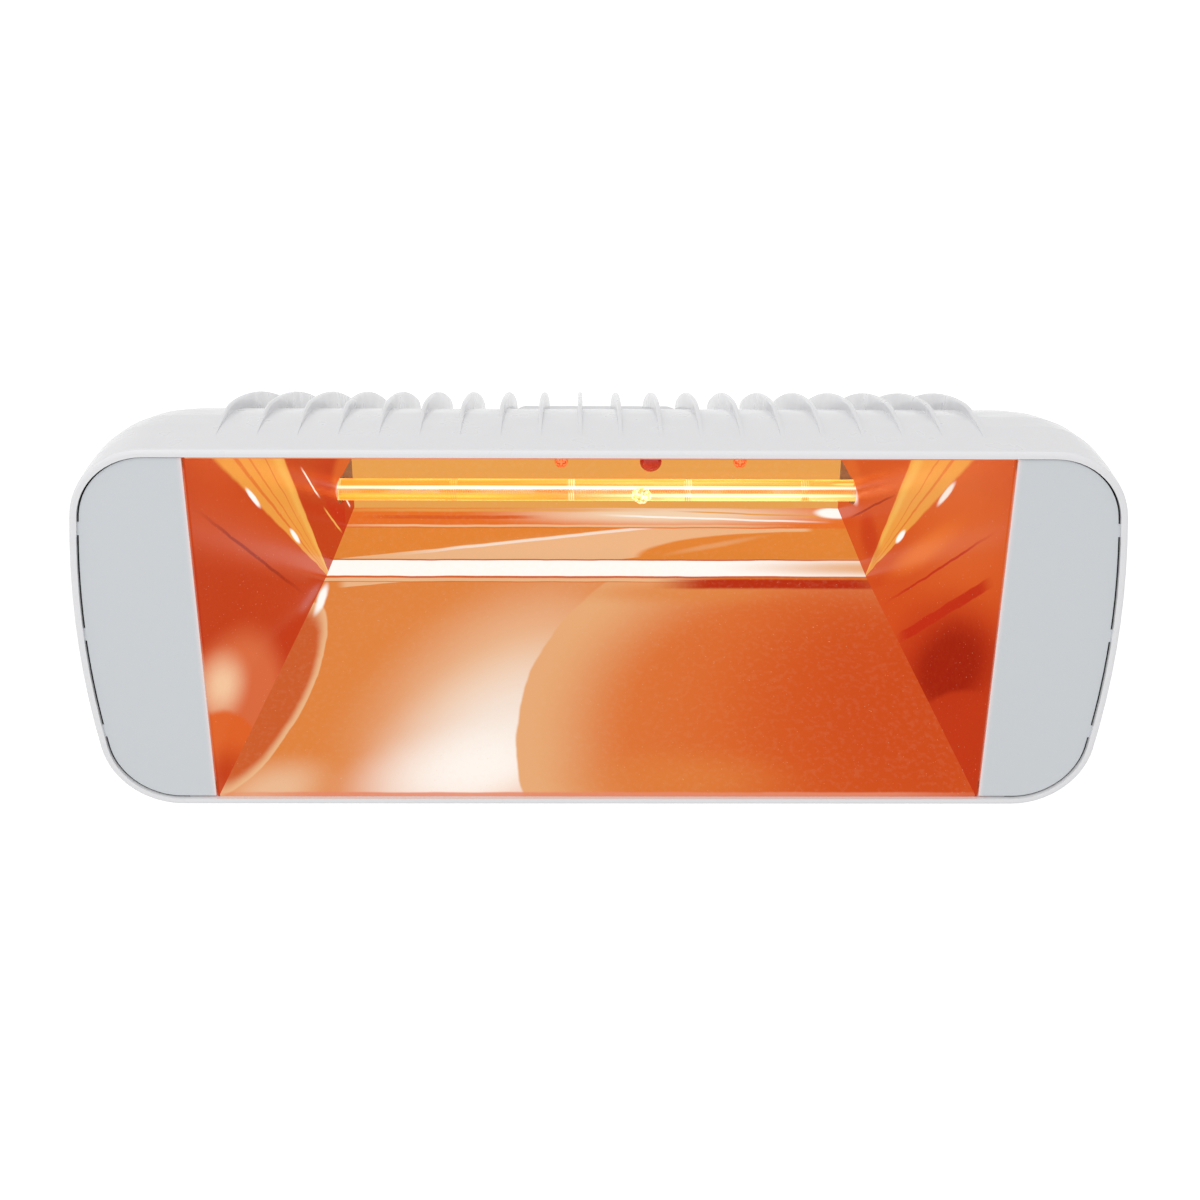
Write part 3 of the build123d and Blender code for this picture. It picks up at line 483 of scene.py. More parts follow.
def mesh_piece(name, builder, material, smooth=True, body=HEAD):
    """New mesh piece from a bmesh that the builder fills, riding on a body."""
    mesh = bpy.data.meshes.new(name)
    bm = bmesh.new()
    builder(bm)
    bmesh.ops.recalc_face_normals(bm, faces=bm.faces)
    for face in bm.faces:
        face.smooth = smooth
    bm.to_mesh(mesh)
    bm.free()
    piece = bpy.data.objects.new(name, mesh)
    bpy.context.scene.collection.objects.link(piece)
    mesh.materials.append(material)
    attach(piece, body)
    return piece


def ring_points(centre, across, up, radius, count):
    """Points of a circle in the plane of two vectors, or of an oval where their lengths differ."""
    turns = (2 * math.pi * step / count for step in range(count))
    return [centre + radius * (math.cos(turn) * across + math.sin(turn) * up) for turn in turns]


def skin_rings(bm, rings):
    """Joins rings of equal count with quads and caps both ends."""
    layers = [[bm.verts.new(point) for point in ring] for ring in rings]
    count = len(layers[0])
    for low, high in zip(layers, layers[1:]):
        for step in range(count):
            following = (step + 1) % count
            bm.faces.new((low[step], low[following], high[following], high[step]))
    bm.faces.new(list(reversed(layers[0])))
    bm.faces.new(layers[-1])


def tube_along(bm, points, radius, sides):
    """Round wire through a list of points, its section carried along without twist."""
    across = None
    rings = []
    for index, point in enumerate(points):
        before = points[max(index - 1, 0)]
        after = points[min(index + 1, len(points) - 1)]
        forward = (after - before).normalized()
        if across is None:
            across = forward.orthogonal().normalized()
        across = (across - forward * across.dot(forward)).normalized()
        rings.append(ring_points(point, across, forward.cross(across), radius, sides))
    skin_rings(bm, rings)


def lathe(bm, centre, axis, profile, sides=64):
    """Turned form: (along, radius) pairs spun about an axis."""
    across = axis.orthogonal().normalized()
    up = axis.cross(across)
    skin_rings(bm, [ring_points(centre + axis * along, across, up, radius, sides)
                    for along, radius in profile])


# Sizes and colours that a user may change


class HeaterFinish(bpy.types.PropertyGroup):
    """Colours and gloss of the painted and rolled surfaces."""

    casting_colour: FloatVectorProperty(
        name="Casting", description="Stoved paint of the casting", subtype="COLOR",
        default=(0.80, 0.80, 0.815), min=0, max=1)
    panel_colour: FloatVectorProperty(
        name="Side panels", description="Pale grey paint of the side panels", subtype="COLOR",
        default=(0.635, 0.665, 0.69), min=0, max=1)
    bracket_colour: FloatVectorProperty(
        name="Bracket", description="Paint of the wall bracket", subtype="COLOR",
        default=(0.74, 0.75, 0.76), min=0, max=1)
    fin_count: IntProperty(name="Fins", description="Cooling fins across the casting", default=20)
    fin_pitch: FloatProperty(name="Fin pitch", description="Step from fin to fin", default=16.9 * MM,
                             unit="LENGTH")
    fin_thickness: FloatProperty(name="Fin thickness", description="Thickness behind the fin's front end",
                                 default=2.2 * MM, unit="LENGTH")
    mirror_colour: FloatVectorProperty(
        name="Reflector", description="Tint of what the reflector mirrors", subtype="COLOR",
        default=(0.035, 0.010, 0.004), min=0, max=1)
    # the reflector's painted reflections of the lamp are given off as light at this strength
    glow: FloatProperty(
        name="Glow", description="Strength of the light that the reflector gives back",
        default=0.95, min=0, max=3)


class HeaterLamp(bpy.types.PropertyGroup):
    """Sizes inside the halogen tube."""

    tube_radius: FloatProperty(name="Tube radius", description="Outside of the quartz tube",
                               default=5.5 * MM, unit="LENGTH")
    tube_wall: FloatProperty(name="Tube wall", description="Thickness of the quartz",
                             default=1.0 * MM, unit="LENGTH")
    tube_half: FloatProperty(name="Half length", description="Half length of the round part of the tube",
                             default=141 * MM, unit="LENGTH")
    coil_pitch: FloatProperty(name="Coil pitch", description="Step of the wound wire",
                              default=1.15 * MM, unit="LENGTH")
    wire_radius: FloatProperty(name="Wire radius", description="Radius of the wound wire",
                               default=0.24 * MM, unit="LENGTH")
    support_turns: IntProperty(name="Support turns", description="Turns of each wire support", default=3)
    heat: FloatProperty(name="Filament heat", description="Light of the filament", default=0.4)


class HeaterStage(bpy.types.PropertyGroup):
    """Floor, lamps and camera."""

    floor_drop: FloatProperty(name="Floor drop", description="Floor below the wall plate",
                              default=1.2, unit="LENGTH")
    floor_size: FloatProperty(name="Floor size", description="Width of the floor",
                              default=40.0, unit="LENGTH")
    tilt: FloatProperty(name="Tilt", description="Camera's look down", default=math.radians(28),
                        subtype="ANGLE")
    turn: FloatProperty(name="Turn", description="Camera's turn round the upright",
                        default=math.radians(0.7), subtype="ANGLE")
    roll: FloatProperty(name="Roll", description="Camera's roll", default=math.radians(-0.41),
                        subtype="ANGLE")
    distance: FloatProperty(name="Distance", description="From the open face's centre to the camera",
                            default=0.8065, unit="LENGTH")
    side: FloatProperty(name="Side", description="Aim to the right of the middle",
                        default=0.25 * MM, unit="LENGTH")
    lens: FloatProperty(name="Lens", description="Focal length in millimetres", default=56.25)
    shift: FloatProperty(name="Shift", description="Upward shift of the picture, a share of its width",
                         default=0.03075)
    sky: FloatProperty(name="Sky", description="Strength of the even light all round", default=0.62)
    key: FloatProperty(name="Key", description="Power of the large lamp above the front, in watts",
                       default=17.0)
    fill: FloatProperty(name="Fill", description="Power of the lamps at the sides, in watts", default=2.0)


# Materials


def stoved_paint(name, colour, roughness, depth, radius=0.0):
    """Stoved paint with a faint orange peel of a given depth."""
    material, tree, shader = new_material(name, colour, roughness, coat_weight=0.35, coat_roughness=0.06)
    add_skin(tree, shader, grain=1100.0, wave=70.0, share=0.45, depth=depth, mottle=0.05, radius=radius)
    return material


def bright_steel(name, colour=(0.55, 0.56, 0.58), roughness=0.3):
    """Turned steel with fine tool marks and softened edges."""
    material, tree, shader = new_material(name, colour, roughness, 1.0)
    add_skin(tree, shader, grain=2600.0, wave=400.0, share=0.3, depth=0.02 * MM, mottle=0.08,
             radius=0.25 * MM)
    return material


def moulded(name, colour, roughness):
    """Moulded plastic or rubber."""
    material, tree, shader = new_material(name, colour, roughness)
    add_skin(tree, shader, grain=1800.0, wave=260.0, share=0.3, depth=0.02 * MM, mottle=0.06,
             radius=0.2 * MM)
    return material


def fired_clay(name):
    """Unglazed steatite, lit red by the lamp where the reflector's end walls stand over it. The red light
    and the dark red shade further out are painted as light given off.
    """
    painted_light_end, painted_shade_start = 142 * MM, 158 * MM
    material, tree, shader = new_material(name, (0.80, 0.72, 0.62), 0.6, emission_strength=1.0)
    skin = add_skin(tree, shader, grain=2200.0, wave=300.0, share=0.4, depth=0.04 * MM, mottle=0.05,
                    radius=0.3 * MM)
    # painted light: the lamp's red light on the clay, mottled between orange and burnt orange
    hot = mix_colour(tree, skin.outputs["Mottle"], ORANGE, BURNT_ORANGE)
    glow = mix_colour(tree, ramp_value(tree, way_out(tree), painted_light_end, painted_shade_start), hot, DARK_RED)
    tree.links.new(glow, shader.inputs["Emission Color"])
    return material


# Strokes of painted light and shade on the reflector, standing for its reflections of the lamp and the room:
# shape, centre, half sizes, turn in degrees, share of the size that the soft edge takes, strength and
# colour.
# A fan's sizes are its length and its half width per length.

# Trough: X in millimetres along the heater and depth from the open face
TROUGH_STROKES = [
    # lower wall, left of the round reflection
    ("patch", (-46, 62), (112, 66), 48, 0.95, 0.9, PEACH),
    ("patch", (-46, 36), (92, 50), 40, 0.95, 1.0, CREAM),
    ("patch", (-56, 14), (74, 34), 14, 0.95, 0.8, WHITE_HOT),
    ("patch", (-146, 4), (34, 22), 20, 0.9, 0.8, PEACH),
    # round reflection with its pale rim
    ("patch", (84, 33), (122.5, 126), 0, 0.012, 1.0, FAWN),
    ("patch", (90, 33), (124, 125), 0, 0.42, 1.0, TERRACOTTA),
    ("patch", (122, 44), (118, 128), 0, 0.75, 1.0, BURNT_ORANGE),
    ("patch", (156, 46), (104, 130), 0, 0.8, 0.9, BRICK),
    ("patch", (40, 122), (70, 12), 0, 0.9, 0.7, ORANGE),
    ("patch", (36, 10), (66, 22), 0, 0.9, 0.6, ORANGE),
    # curved edge by the left end wall
    ("patch", (-156.6, 58), (20.2, 60), -17, 0.03, 0.9, HONEY),
    ("patch", (-156.8, 58), (19.5, 59.5), -17, 0.2, 1.0, UMBER),
    ("patch", (-136.5, 117), (2.8, 13), -10, 0.6, 1.0, WHITE_HOT),
    # front lip
    ("band", (0, 1), (200, 2.6), 0, 0.4, 0.9, PINK),
    # facet with the slanting reflections
    ("band", (0, 150.6), (200, 9.8), 0, 0.03, 1.0, OCHRE),
    ("patch", (-30, 146), (90, 12), 6, 0.9, 0.5, FAWN),
    ("band", (-10, 148), (122, 9), 7.1, 0.05, 0.9, HONEY),
    ("band", (-6, 156.2), (104, 1.0), 7.1, 0.5, 0.8, CREAM),
    ("patch", (110, 143), (92, 15.5), 0, 0.06, 1.0, OCHRE),
    ("patch", (60, 150), (34, 2.2), 12, 0.8, 0.6, FAWN),
    # bright facet, orange at its right end, and the dark line below it
    ("band", (0, 136.6), (200, 5.4), 0, 0.05, 1.0, UMBER),
    ("band", (0, 136.7), (200, 4.6), 0, 0.10, 1.0, WHITE_HOT),
    ("band", (-60, 129.9), (130, 1.2), 0, 0.3, 0.9, HONEY),
    ("band", (-60, 128.5), (130, 0.35), 0, 0.5, 0.8, BURNT_ORANGE),
    ("patch", (150, 137), (100, 7), 0, 0.9, 0.95, FAWN),
    ("band", (0, 131.4), (200, 0.5), 0, 0.5, 0.8, BURNT_ORANGE),
    ("band", (92, 127.4), (68, 4.2), 0, 0.5, 1.0, MAROON),
    # facet behind the tube
    ("band", (0, 165.7), (200, 6), 0, 0.03, 1.0, TANGERINE),
    ("patch", (35, 168), (110, 9), 0, 0.85, 1.0, BISCUIT),
    ("band", (-60, 170.4), (110, 1.5), 0, 0.8, 0.9, TAN),
    ("band", (-74, 166.2), (52, 1.3), 0, 0.5, 1.0, BURNT_ORANGE),
    ("band", (-20, 161.2), (130, 0.8), 0, 0.4, 1.0, HONEY),
    ("band", (60, 165.5), (64, 0.7), -2, 0.5, 0.8, WHITE_HOT),
    ("band", (84, 168.2), (50, 0.6), -2.4, 0.5, 0.9, AMBER),
    ("patch", (124, 169), (14, 4), 0, 0.4, 1.0, WHITE_HOT),
    # back strip
    ("band", (0, 175), (200, 3.4), 0, 0.06, 1.0, TAN),
]

# End walls: depth from the open face and height above the lamp's level
LEFT_END_STROKES = [
    ("fan", (145, -45), (230, 0.20), 142, 0.7, 0.7, BRICK),
    ("band", (57, 11), (74, 1.2), 137.8, 0.7, 0.9, DARK_RED),
    ("fan", (138, -41), (200, 0.16), 126.2, 0.12, 1.0, AMBER),
    ("fan", (138, -41), (190, 0.06), 120, 0.9, 0.8, GOLD),
    ("fan", (138, -41), (200, 0.012), 131.5, 0.6, 0.7, BURNT_ORANGE),
    ("fan", (138, -41), (200, 0.007), 128.6, 0.6, 0.6, BURNT_ORANGE),
    ("fan", (138, -41), (200, 0.006), 124.6, 0.6, 0.6, UMBER),
    ("patch", (59.7, 38.4), (12, 1.9), -48.4, 0.5, 1.0, WHITE_HOT),
    ("patch", (99.5, 1.2), (9.4, 1.8), -50, 0.5, 1.0, WHITE_HOT),
    ("fan", (158, -30), (70, 0.40), 104, 0.25, 1.0, RED),
    ("band", (121, 19.4), (17, 0.7), 127.6, 0.5, 1.0, CREAM),
    ("band", (144, -10.8), (17, 0.7), 131, 0.5, 0.9, GOLD),
    ("band", (164.5, -10.5), (4.5, 0.8), 129, 0.5, 1.0, CREAM),
    ("patch", (160, 8), (18, 16), 0, 0.6, 0.8, BURNT_ORANGE),
    ("patch", (157, 1), (9, 6), -20, 0.7, 1.0, WHITE_HOT),
    ("patch", (6, -62), (80, 60), -8, 0.30, 0.9, CORAL),
    ("patch", (14, -32), (34, 20), -32, 0.95, 1.0, PEACH),
    ("patch", (5, -72), (50, 29), -38, 0.12, 1.0, BURNT_ORANGE),
    ("patch", (5, -82), (44, 26), -30, 0.7, 0.9, RUSSET),
]

RIGHT_END_STROKES = [
    ("patch", (40, 30), (90, 50), -30, 0.9, 0.9, BURNT_ORANGE),
    ("patch", (74, 6), (60, 9), -41, 0.9, 0.9, TANGERINE),
    ("fan", (134, -37), (190, 0.157), 124.8, 0.12, 1.0, AMBER),
    ("fan", (134, -37), (180, 0.06), 119.5, 0.9, 0.8, GOLD),
    ("fan", (134, -37), (200, 0.010), 129.5, 0.6, 0.7, BURNT_ORANGE),
    ("fan", (134, -37), (200, 0.006), 126.0, 0.6, 0.6, BURNT_ORANGE),
    ("patch", (57.2, 42.1), (14, 2.2), -49.4, 0.5, 1.0, CREAM),
    ("patch", (98.3, 2.1), (8.4, 2.1), -48.7, 0.5, 1.0, WHITE_HOT),
    ("band", (59.6, 3), (71, 0.8), 139.4, 0.6, 0.9, RED),
    ("patch", (30, -56), (96, 62), -38, 0.4, 1.0, RUSSET),
    ("patch", (38, -36), (58, 25), -41, 0.6, 0.9, DARK_RED),
    ("patch", (20, -70), (62, 29), -37, 0.12, 0.9, RUSSET),
    ("band", (50, -13.5), (58, 2.8), 138.8, 0.3, 0.95, RED),
    ("fan", (150, -32), (80, 0.40), 104, 0.3, 1.0, BRICK),
    ("patch", (132, -14), (16, 16), 0, 0.7, 0.7, RED),
    ("band", (132, 2.5), (33, 0.7), 144.7, 0.5, 0.8, DARK_RED),
    ("patch", (158, 8), (16, 14), 0, 0.6, 0.8, BURNT_ORANGE),
    ("patch", (155, 0), (9, 6), 20, 0.7, 1.0, WHITE_HOT),
]


def mirror_sheet(name, across, up, ground, strokes, grain_tint, settings):
    """Rolled mirror sheet whose reflections of the lamp and the room, and the shade between them, are
    painted as light given off. across and up are the strokes' axes, named as in plane_place.
    """
    wander_reach = Vector((3.0, 1.0, 0.0))
    grain_share, speck_share = 0.05, 0.45
    material, tree, shader = new_material(name, settings.mirror_colour, 0.22, 1.0,
                                          emission_strength=settings.glow)
    place = plane_place(tree, across, up)
    wander = noise_node(tree, place, 0.05, 3.0)
    shake = add(tree, "ShaderNodeVectorMath", {"operation": "MULTIPLY_ADD"},
                {0: wander.outputs["Color"], 1: wander_reach, 2: place})
    base = add(tree, "ShaderNodeVectorMath", {"operation": "SUBTRACT"},
               {0: shake.outputs[0], 1: wander_reach / 2})
    colour = paint(tree, base.outputs[0], ground, strokes)
    piece_place = object_place(tree)
    grain = noise_node(tree, piece_place, 420.0)
    faint = ramp_value(tree, grain.outputs[0], 0.45, 0.75, 0.0, grain_share)
    colour = mix_colour(tree, faint, colour, grain_tint)
    specks = use_group(tree, "glitter", {"Place": piece_place, "Scale": 1100.0, "Rarity": 0.73})
    bright = math_node(tree, "MULTIPLY", specks.outputs[0], speck_share)
    tree.links.new(mix_colour(tree, bright, colour, PEACH), shader.inputs["Emission Color"])
    add_bump(tree, shader, noise_node(tree, place, 0.03).outputs[0], 0.4 * MM, 0.5)
    return material


# Tube, its painted highlights of the filament's light: X in millimetres along the heater and height above
# the lamp's level
TUBE_STROKES = [
    ("band", (0, 5.1), (200, 1.1), 0, 0.8, 0.5, AMBER),
    ("band", (0, 2.9), (200, 0.7), 0, 0.7, 1.0, WHITE_HOT),
    ("band", (70, -0.8), (100, 1.3), 0, 0.9, 0.8, CREAM),
    ("band", (-80, -1.2), (90, 1.3), 0, 0.9, 0.4, AMBER),
    ("band", (0, -4.2), (200, 0.9), 0, 0.8, 0.4, AMBER),
]


def quartz(name):
    """Gold-coated quartz with painted highlights: the bright lines and faint streaks of the filament's light
    along it are given off as light.
    """
    streak_share = 0.15
    material, tree, shader = new_material(name, (1.0, 0.76, 0.46), 0.02, 0.0, transmission_weight=1.0,
                                          ior=1.46, emission_strength=0.9)
    place = plane_place(tree, "width", "height")
    colour = paint(tree, place, (0.10, 0.035, 0.004), TUBE_STROKES)
    streaks = use_group(tree, "streaks", {"Place": place, "Along": 0.02, "Across": 1.4})
    faint = math_node(tree, "MULTIPLY", streaks.outputs[0], streak_share)
    tree.links.new(mix_colour(tree, faint, colour, AMBER), shader.inputs["Emission Color"])
    return material


def glowing_wire(name, tint, strength):
    """Wire that glows in two tints over its surface: on the filament the lamp's own light, a little cooler
    in places, and on the wire supports painted glints.
    """
    material, tree, shader = new_material(name, (0.3, 0.2, 0.1), 0.5, 1.0, emission_strength=strength)
    mottled_glow(tree, shader, 60.0, 0.35, 0.65, tint, WHITE_HOT)
    return material


# Casting and its fins


def fin_edge(depth):
    """Height of a fin's outer edge in millimetres: flat in front, then ever steeper."""
    behind = depth - FIN_BEND
    back = (behind + math.hypot(behind, FIN_EASE)) / 2
    return FIN_TOP - FIN_SLOPE * back - FIN_CURVE * back ** 2


def casting_top(depth):
    """Height of the casting itself in millimetres: flat, then an arc, then straight to the back."""
    slope = math.radians(CASTING_SLOPE)
    arc_end = CASTING_FLAT + CASTING_BEND * math.sin(slope)
    run = min(max(depth, CASTING_FLAT), arc_end) - CASTING_FLAT
    drop = CASTING_BEND - math.sqrt(CASTING_BEND ** 2 - run ** 2)
    return FIN_TOP - drop - max(0.0, depth - arc_end) * math.tan(slope)


def moved_copy(node, name, material, move):
    """Copy of a CAD node's mesh with some of its corners moved. It stands for the node."""
    mesh = NODES[node].data.copy()
    mesh.name = name
    for vert in mesh.vertices:
        vert.co = move(vert.co)
    mesh.materials.clear()
    mesh.materials.append(material)
    piece = bpy.data.objects.new(name, mesh)
    bpy.context.scene.collection.objects.link(piece)
    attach(piece, HEAD)
    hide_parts(node)
    return piece


def under_blades(place):
    """Keeps a corner of the solid's plain fins under the blades' outer edge."""
    depth = (place.y - FACE_DEPTH) / MM
    height = (place.z - LAMP_Z) / MM
    front, back = FIN_CUT
    if not front < depth < back or abs(place.x) / MM > FIN_REACH:
        return place
    limit = fin_edge(depth) - FIN_COVER
    if abs(height) <= limit:
        return place
    return Vector((place.x, place.y, LAMP_Z + math.copysign(limit, height) * MM))


def fin_path():
    """Outer and inner points of a fin, from its front over the top and the back to its front below.

    Each point is a depth from the open face and a height over the lamp's level, in millimetres.
    """
    upper = []
    for step in range(FIN_STEPS + 1):
        depth = FIN_START + (FIN_NOSE_START - FIN_START) * step / FIN_STEPS
        upper.append(((depth, fin_edge(depth)), (depth, casting_top(depth) - FIN_FOOT)))
    nose_depth, nose_height = FIN_NOSE_CENTRE
    for step in range(FIN_NOSE_STEPS + 1):
        turn = math.radians(FIN_NOSE_TURN * (1 - step / FIN_NOSE_STEPS))
        upper.append(tuple((nose_depth + reach * math.cos(turn), nose_height + reach * math.sin(turn))
                           for reach in (FIN_NOSE_RADIUS, FIN_NOSE_RADIUS - FIN_NOSE_FOOT)))
    back = nose_depth + FIN_NOSE_RADIUS
    middle = ((back, 0.0), (back - FIN_NOSE_FOOT, 0.0))
    lower = [((outer[0], -outer[1]), (inner[0], -inner[1])) for outer, inner in reversed(upper)]
    return [*upper, middle, *lower]


def blade_rings(x, thickness):
    """Rings of a blade at a place across the heater, thinner at its front end."""
    rings = []
    for outer, inner in fin_path():
        grown = min(1.0, (outer[0] - FIN_START) / FIN_TAPER_RUN)
        half = thickness / 2 * (FIN_FRONT_SHARE + (1 - FIN_FRONT_SHARE) * grown)
        away = Vector((outer[0] - inner[0], outer[1] - inner[1]))
        length = away.length
        away.normalize()
        ring = []
        for across, below in ((1, length), *FIN_CROWN, (-1, length)):
            depth = outer[0] - away.x * below
            height = outer[1] - away.y * below
            ring.append(Vector((x + across * half, FACE_DEPTH + depth * MM, LAMP_Z + height * MM)))
        rings.append(ring)
    return rings


class HEATER_OT_casting(bpy.types.Operator):
    """Paint the casting and set its cooling fins, tapered blades with a curved outer edge"""

    bl_idname = "heater.casting"
    bl_label = "Casting"

    def execute(self, context):
        look = context.scene.heater_finish
        coat = stoved_paint("casting paint", look.casting_colour, 0.32, 0.001 * MM)
        moved_copy("housing", "casting_body", coat, under_blades)

        def blades(bm):
            for index in range(look.fin_count):
                x = (index - (look.fin_count - 1) / 2) * look.fin_pitch
                skin_rings(bm, blade_rings(x, look.fin_thickness))

        piece = mesh_piece("cooling_fins", blades, coat)
        piece.data.set_sharp_from_angle(angle=math.radians(40))
        return {"FINISHED"}


# Side panels and reflector


class HEATER_OT_side_panels(bpy.types.Operator):
    """Paint the side panels and finish their gaskets and nuts"""

    bl_idname = "heater.side_panels"
    bl_label = "Side panels"

    def execute(self, context):
        look = context.scene.heater_finish
        paint_coat, tree, shader = new_material("panel paint", look.panel_colour, 0.42, coat_weight=0.15,
                                                coat_roughness=0.25, emission_strength=0.4)
        add_skin(tree, shader, grain=1900.0, wave=120.0, share=0.3, depth=0.02 * MM, mottle=0.05,
                 radius=0.3 * MM)
        # painted light: a pink glow is given off along the edge beside the reflector's mouth, standing for
        # the reflector's light that it catches
        lit_end, dark_start = 171 * MM, 175 * MM
        near = ramp_value(tree, way_out(tree), lit_end, dark_start, 1.0, 0.0)
        glow = mix_colour(tree, math_node(tree, "POWER", near, 2.0), (0.0, 0.0, 0.0), PINK)
        tree.links.new(glow, shader.inputs["Emission Color"])
        dress(paint_coat, *both_sides("end_panel"))
        dress(moulded("gasket rubber", (0.006, 0.006, 0.006), 0.9), *both_sides("panel_gasket"))
        dress(bright_steel("zinc plate"), "panel_nuts")
        return {"FINISHED"}


class HEATER_OT_reflector(bpy.types.Operator):
    """Light up the trough reflector and its two end walls with painted reflections of the lamp"""

    bl_idname = "heater.reflector"
    bl_label = "Reflector"

    def execute(self, context):
        look = context.scene.heater_finish
        dress(mirror_sheet("trough mirror", "width", "depth", ORANGE, TROUGH_STROKES, PEACH, look),
              "reflector_trough")
        dress(mirror_sheet("left end mirror", "depth", "height", RUSSET, LEFT_END_STROKES, BURNT_ORANGE, look),
              "left_reflector_end")
        dress(mirror_sheet("right end mirror", "depth", "height", BRICK, RIGHT_END_STROKES, BURNT_ORANGE, look),
              "right_reflector_end")
        return {"FINISHED"}


# Lamp and wiring


class HEATER_OT_quartz_tube(bpy.types.Operator):
    """Blow the quartz tube with its pinched ends and lumpy exhaust tip"""

    bl_idname = "heater.quartz_tube"
    bl_label = "Quartz tube"

    def execute(self, context):
        lamp = context.scene.heater_lamp
        glass = quartz("gold quartz")
        axis = Vector((1, 0, 0))
        centre = Vector((0, LAMP_Y, LAMP_Z))
        half = lamp.tube_half
        wall = lamp.tube_wall
        low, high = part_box("lamp_tube")

        def tube(bm):
            left_end = [(-half + way * MM, lamp.tube_radius * share) for way, share in TUBE_END]
            outside = left_end + [(-along, radius) for along, radius in reversed(left_end)]
            lathe(bm, centre, axis, outside)
            inside = [(along * (half - 2 * wall) / half, radius - wall) for along, radius in outside]
            lathe(bm, centre, axis, inside)

        def pinches(bm):
            sections = [(half + way * MM, deep, tall) for way, deep, tall in PINCH_STARTS]
            sections.append((high.x, *PINCH_END))
            for side in (-1, 1):
                skin_rings(bm, [ring_points(centre + axis * (side * along), Vector((0, deep * MM, 0)),
                                            Vector((0, 0, tall * MM)), 1.0, PINCH_SIDES)
                                for along, deep, tall in sections])

        piece = mesh_piece("quartz_tube", tube, glass)
        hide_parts("lamp_tube")
        mesh_piece("quartz_pinches", pinches, glass)

        tip_x, tip_back, tip_drop = TIP_PLACE
        tip_centre = Vector((tip_x * MM, low.y + tip_back * MM, LAMP_Z - tip_drop * MM))

        def tip(bm):
            bmesh.ops.create_icosphere(bm, subdivisions=4, radius=1.0)
            for vert in bm.verts:
                lump = 1 + sum(height * noise.noise(vert.co * fineness) for height, fineness in TIP_LUMPS)
                reach = Vector([part * size for part, size in zip(vert.co, TIP_SIZE)])
                vert.co = tip_centre + reach * lump * MM

        # painted highlights: the tip gives off mottled burnt-orange and white-hot light, which stands for
        # the glints in its lumps
        nub, tree, shader = new_material("melted quartz", (1.0, 0.66, 0.25), 0.04, 0.0,
                                         transmission_weight=0.85, ior=1.46, emission_strength=0.6)
        mottled_glow(tree, shader, 700.0, 0.4, 0.62, BURNT_ORANGE, WHITE_HOT)
        mesh_piece("exhaust_tip", tip, nub)
        return {"FINISHED"}


def lamp_point(along, radius, turn):
    """Point round the lamp's axis."""
    return Vector((along, LAMP_Y + radius * math.cos(turn), LAMP_Z + radius * math.sin(turn)))


class HEATER_OT_filament(bpy.types.Operator):
    """Wind the filament and the wire supports that hold it on the tube's axis"""

    bl_idname = "heater.filament"
    bl_label = "Filament"

    def execute(self, context):
        lamp = context.scene.heater_lamp
        coil_radius = (LAMP_HIGH.z - LAMP_LOW.z) / 2 - lamp.wire_radius
        length = LAMP_HIGH.x - LAMP_LOW.x
        coil_last = round(length / lamp.coil_pitch) * COIL_STEPS

        def coil(bm):
            points = [lamp_point(LAMP_LOW.x + length * step / coil_last, coil_radius,
                                 2 * math.pi * step / COIL_STEPS) for step in range(coil_last + 1)]
            tube_along(bm, points, lamp.wire_radius, COIL_SIDES)

        wire = mesh_piece("filament_coil", coil, glowing_wire("white hot wire", (1.0, 0.50, 0.16), lamp.heat))
        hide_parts("lamp_filament")

        ring_low, ring_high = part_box("lamp_supports")
        outer = (ring_high.z - ring_low.z) / 2 - lamp.wire_radius
        pitch = (ring_high.x - ring_low.x - 2 * SUPPORT_HALF) / (SUPPORT_COUNT - 1)
        support_last = lamp.support_turns * SUPPORT_STEPS

        def supports(bm):
            for index in range(SUPPORT_COUNT):
                middle = ring_low.x + SUPPORT_HALF + index * pitch
                points = []
                for step in range(support_last + SUPPORT_TAIL):
                    opening = min(1.0, SUPPORT_INNER + step / SUPPORT_OPENING)
                    along = middle + (step / support_last - 0.5) * SUPPORT_RUN
                    points.append(lamp_point(along, outer * opening, 2 * math.pi * step / SUPPORT_STEPS))
                tube_along(bm, points, lamp.wire_radius, SUPPORT_SIDES)

        # painted highlights: the supports give off amber light, which stands for the lamp's glints on their
        # turns
        rings = mesh_piece("filament_supports", supports, glowing_wire("amber wire", AMBER, 1.1))
        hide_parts("lamp_supports")
        return {"FINISHED"}


class HEATER_OT_lamp_ends(bpy.types.Operator):
    """Finish the lamp's ceramic ends, their holders, brackets and contacts"""

    bl_idname = "heater.lamp_ends"
    bl_label = "Lamp ends"

    def execute(self, context):
        dress(fired_clay("fired clay"), *both_sides("lamp_cap"), *both_sides("lamp_holder"))
        dress(bright_steel("contact brass", (0.72, 0.50, 0.20)), *both_sides("contact_strip"))
        dress(bright_steel("bracket zinc", (0.60, 0.60, 0.60), 0.35), *both_sides("holder_bracket"),
              "holder_screws", "bracket_screws")
        return {"FINISHED"}


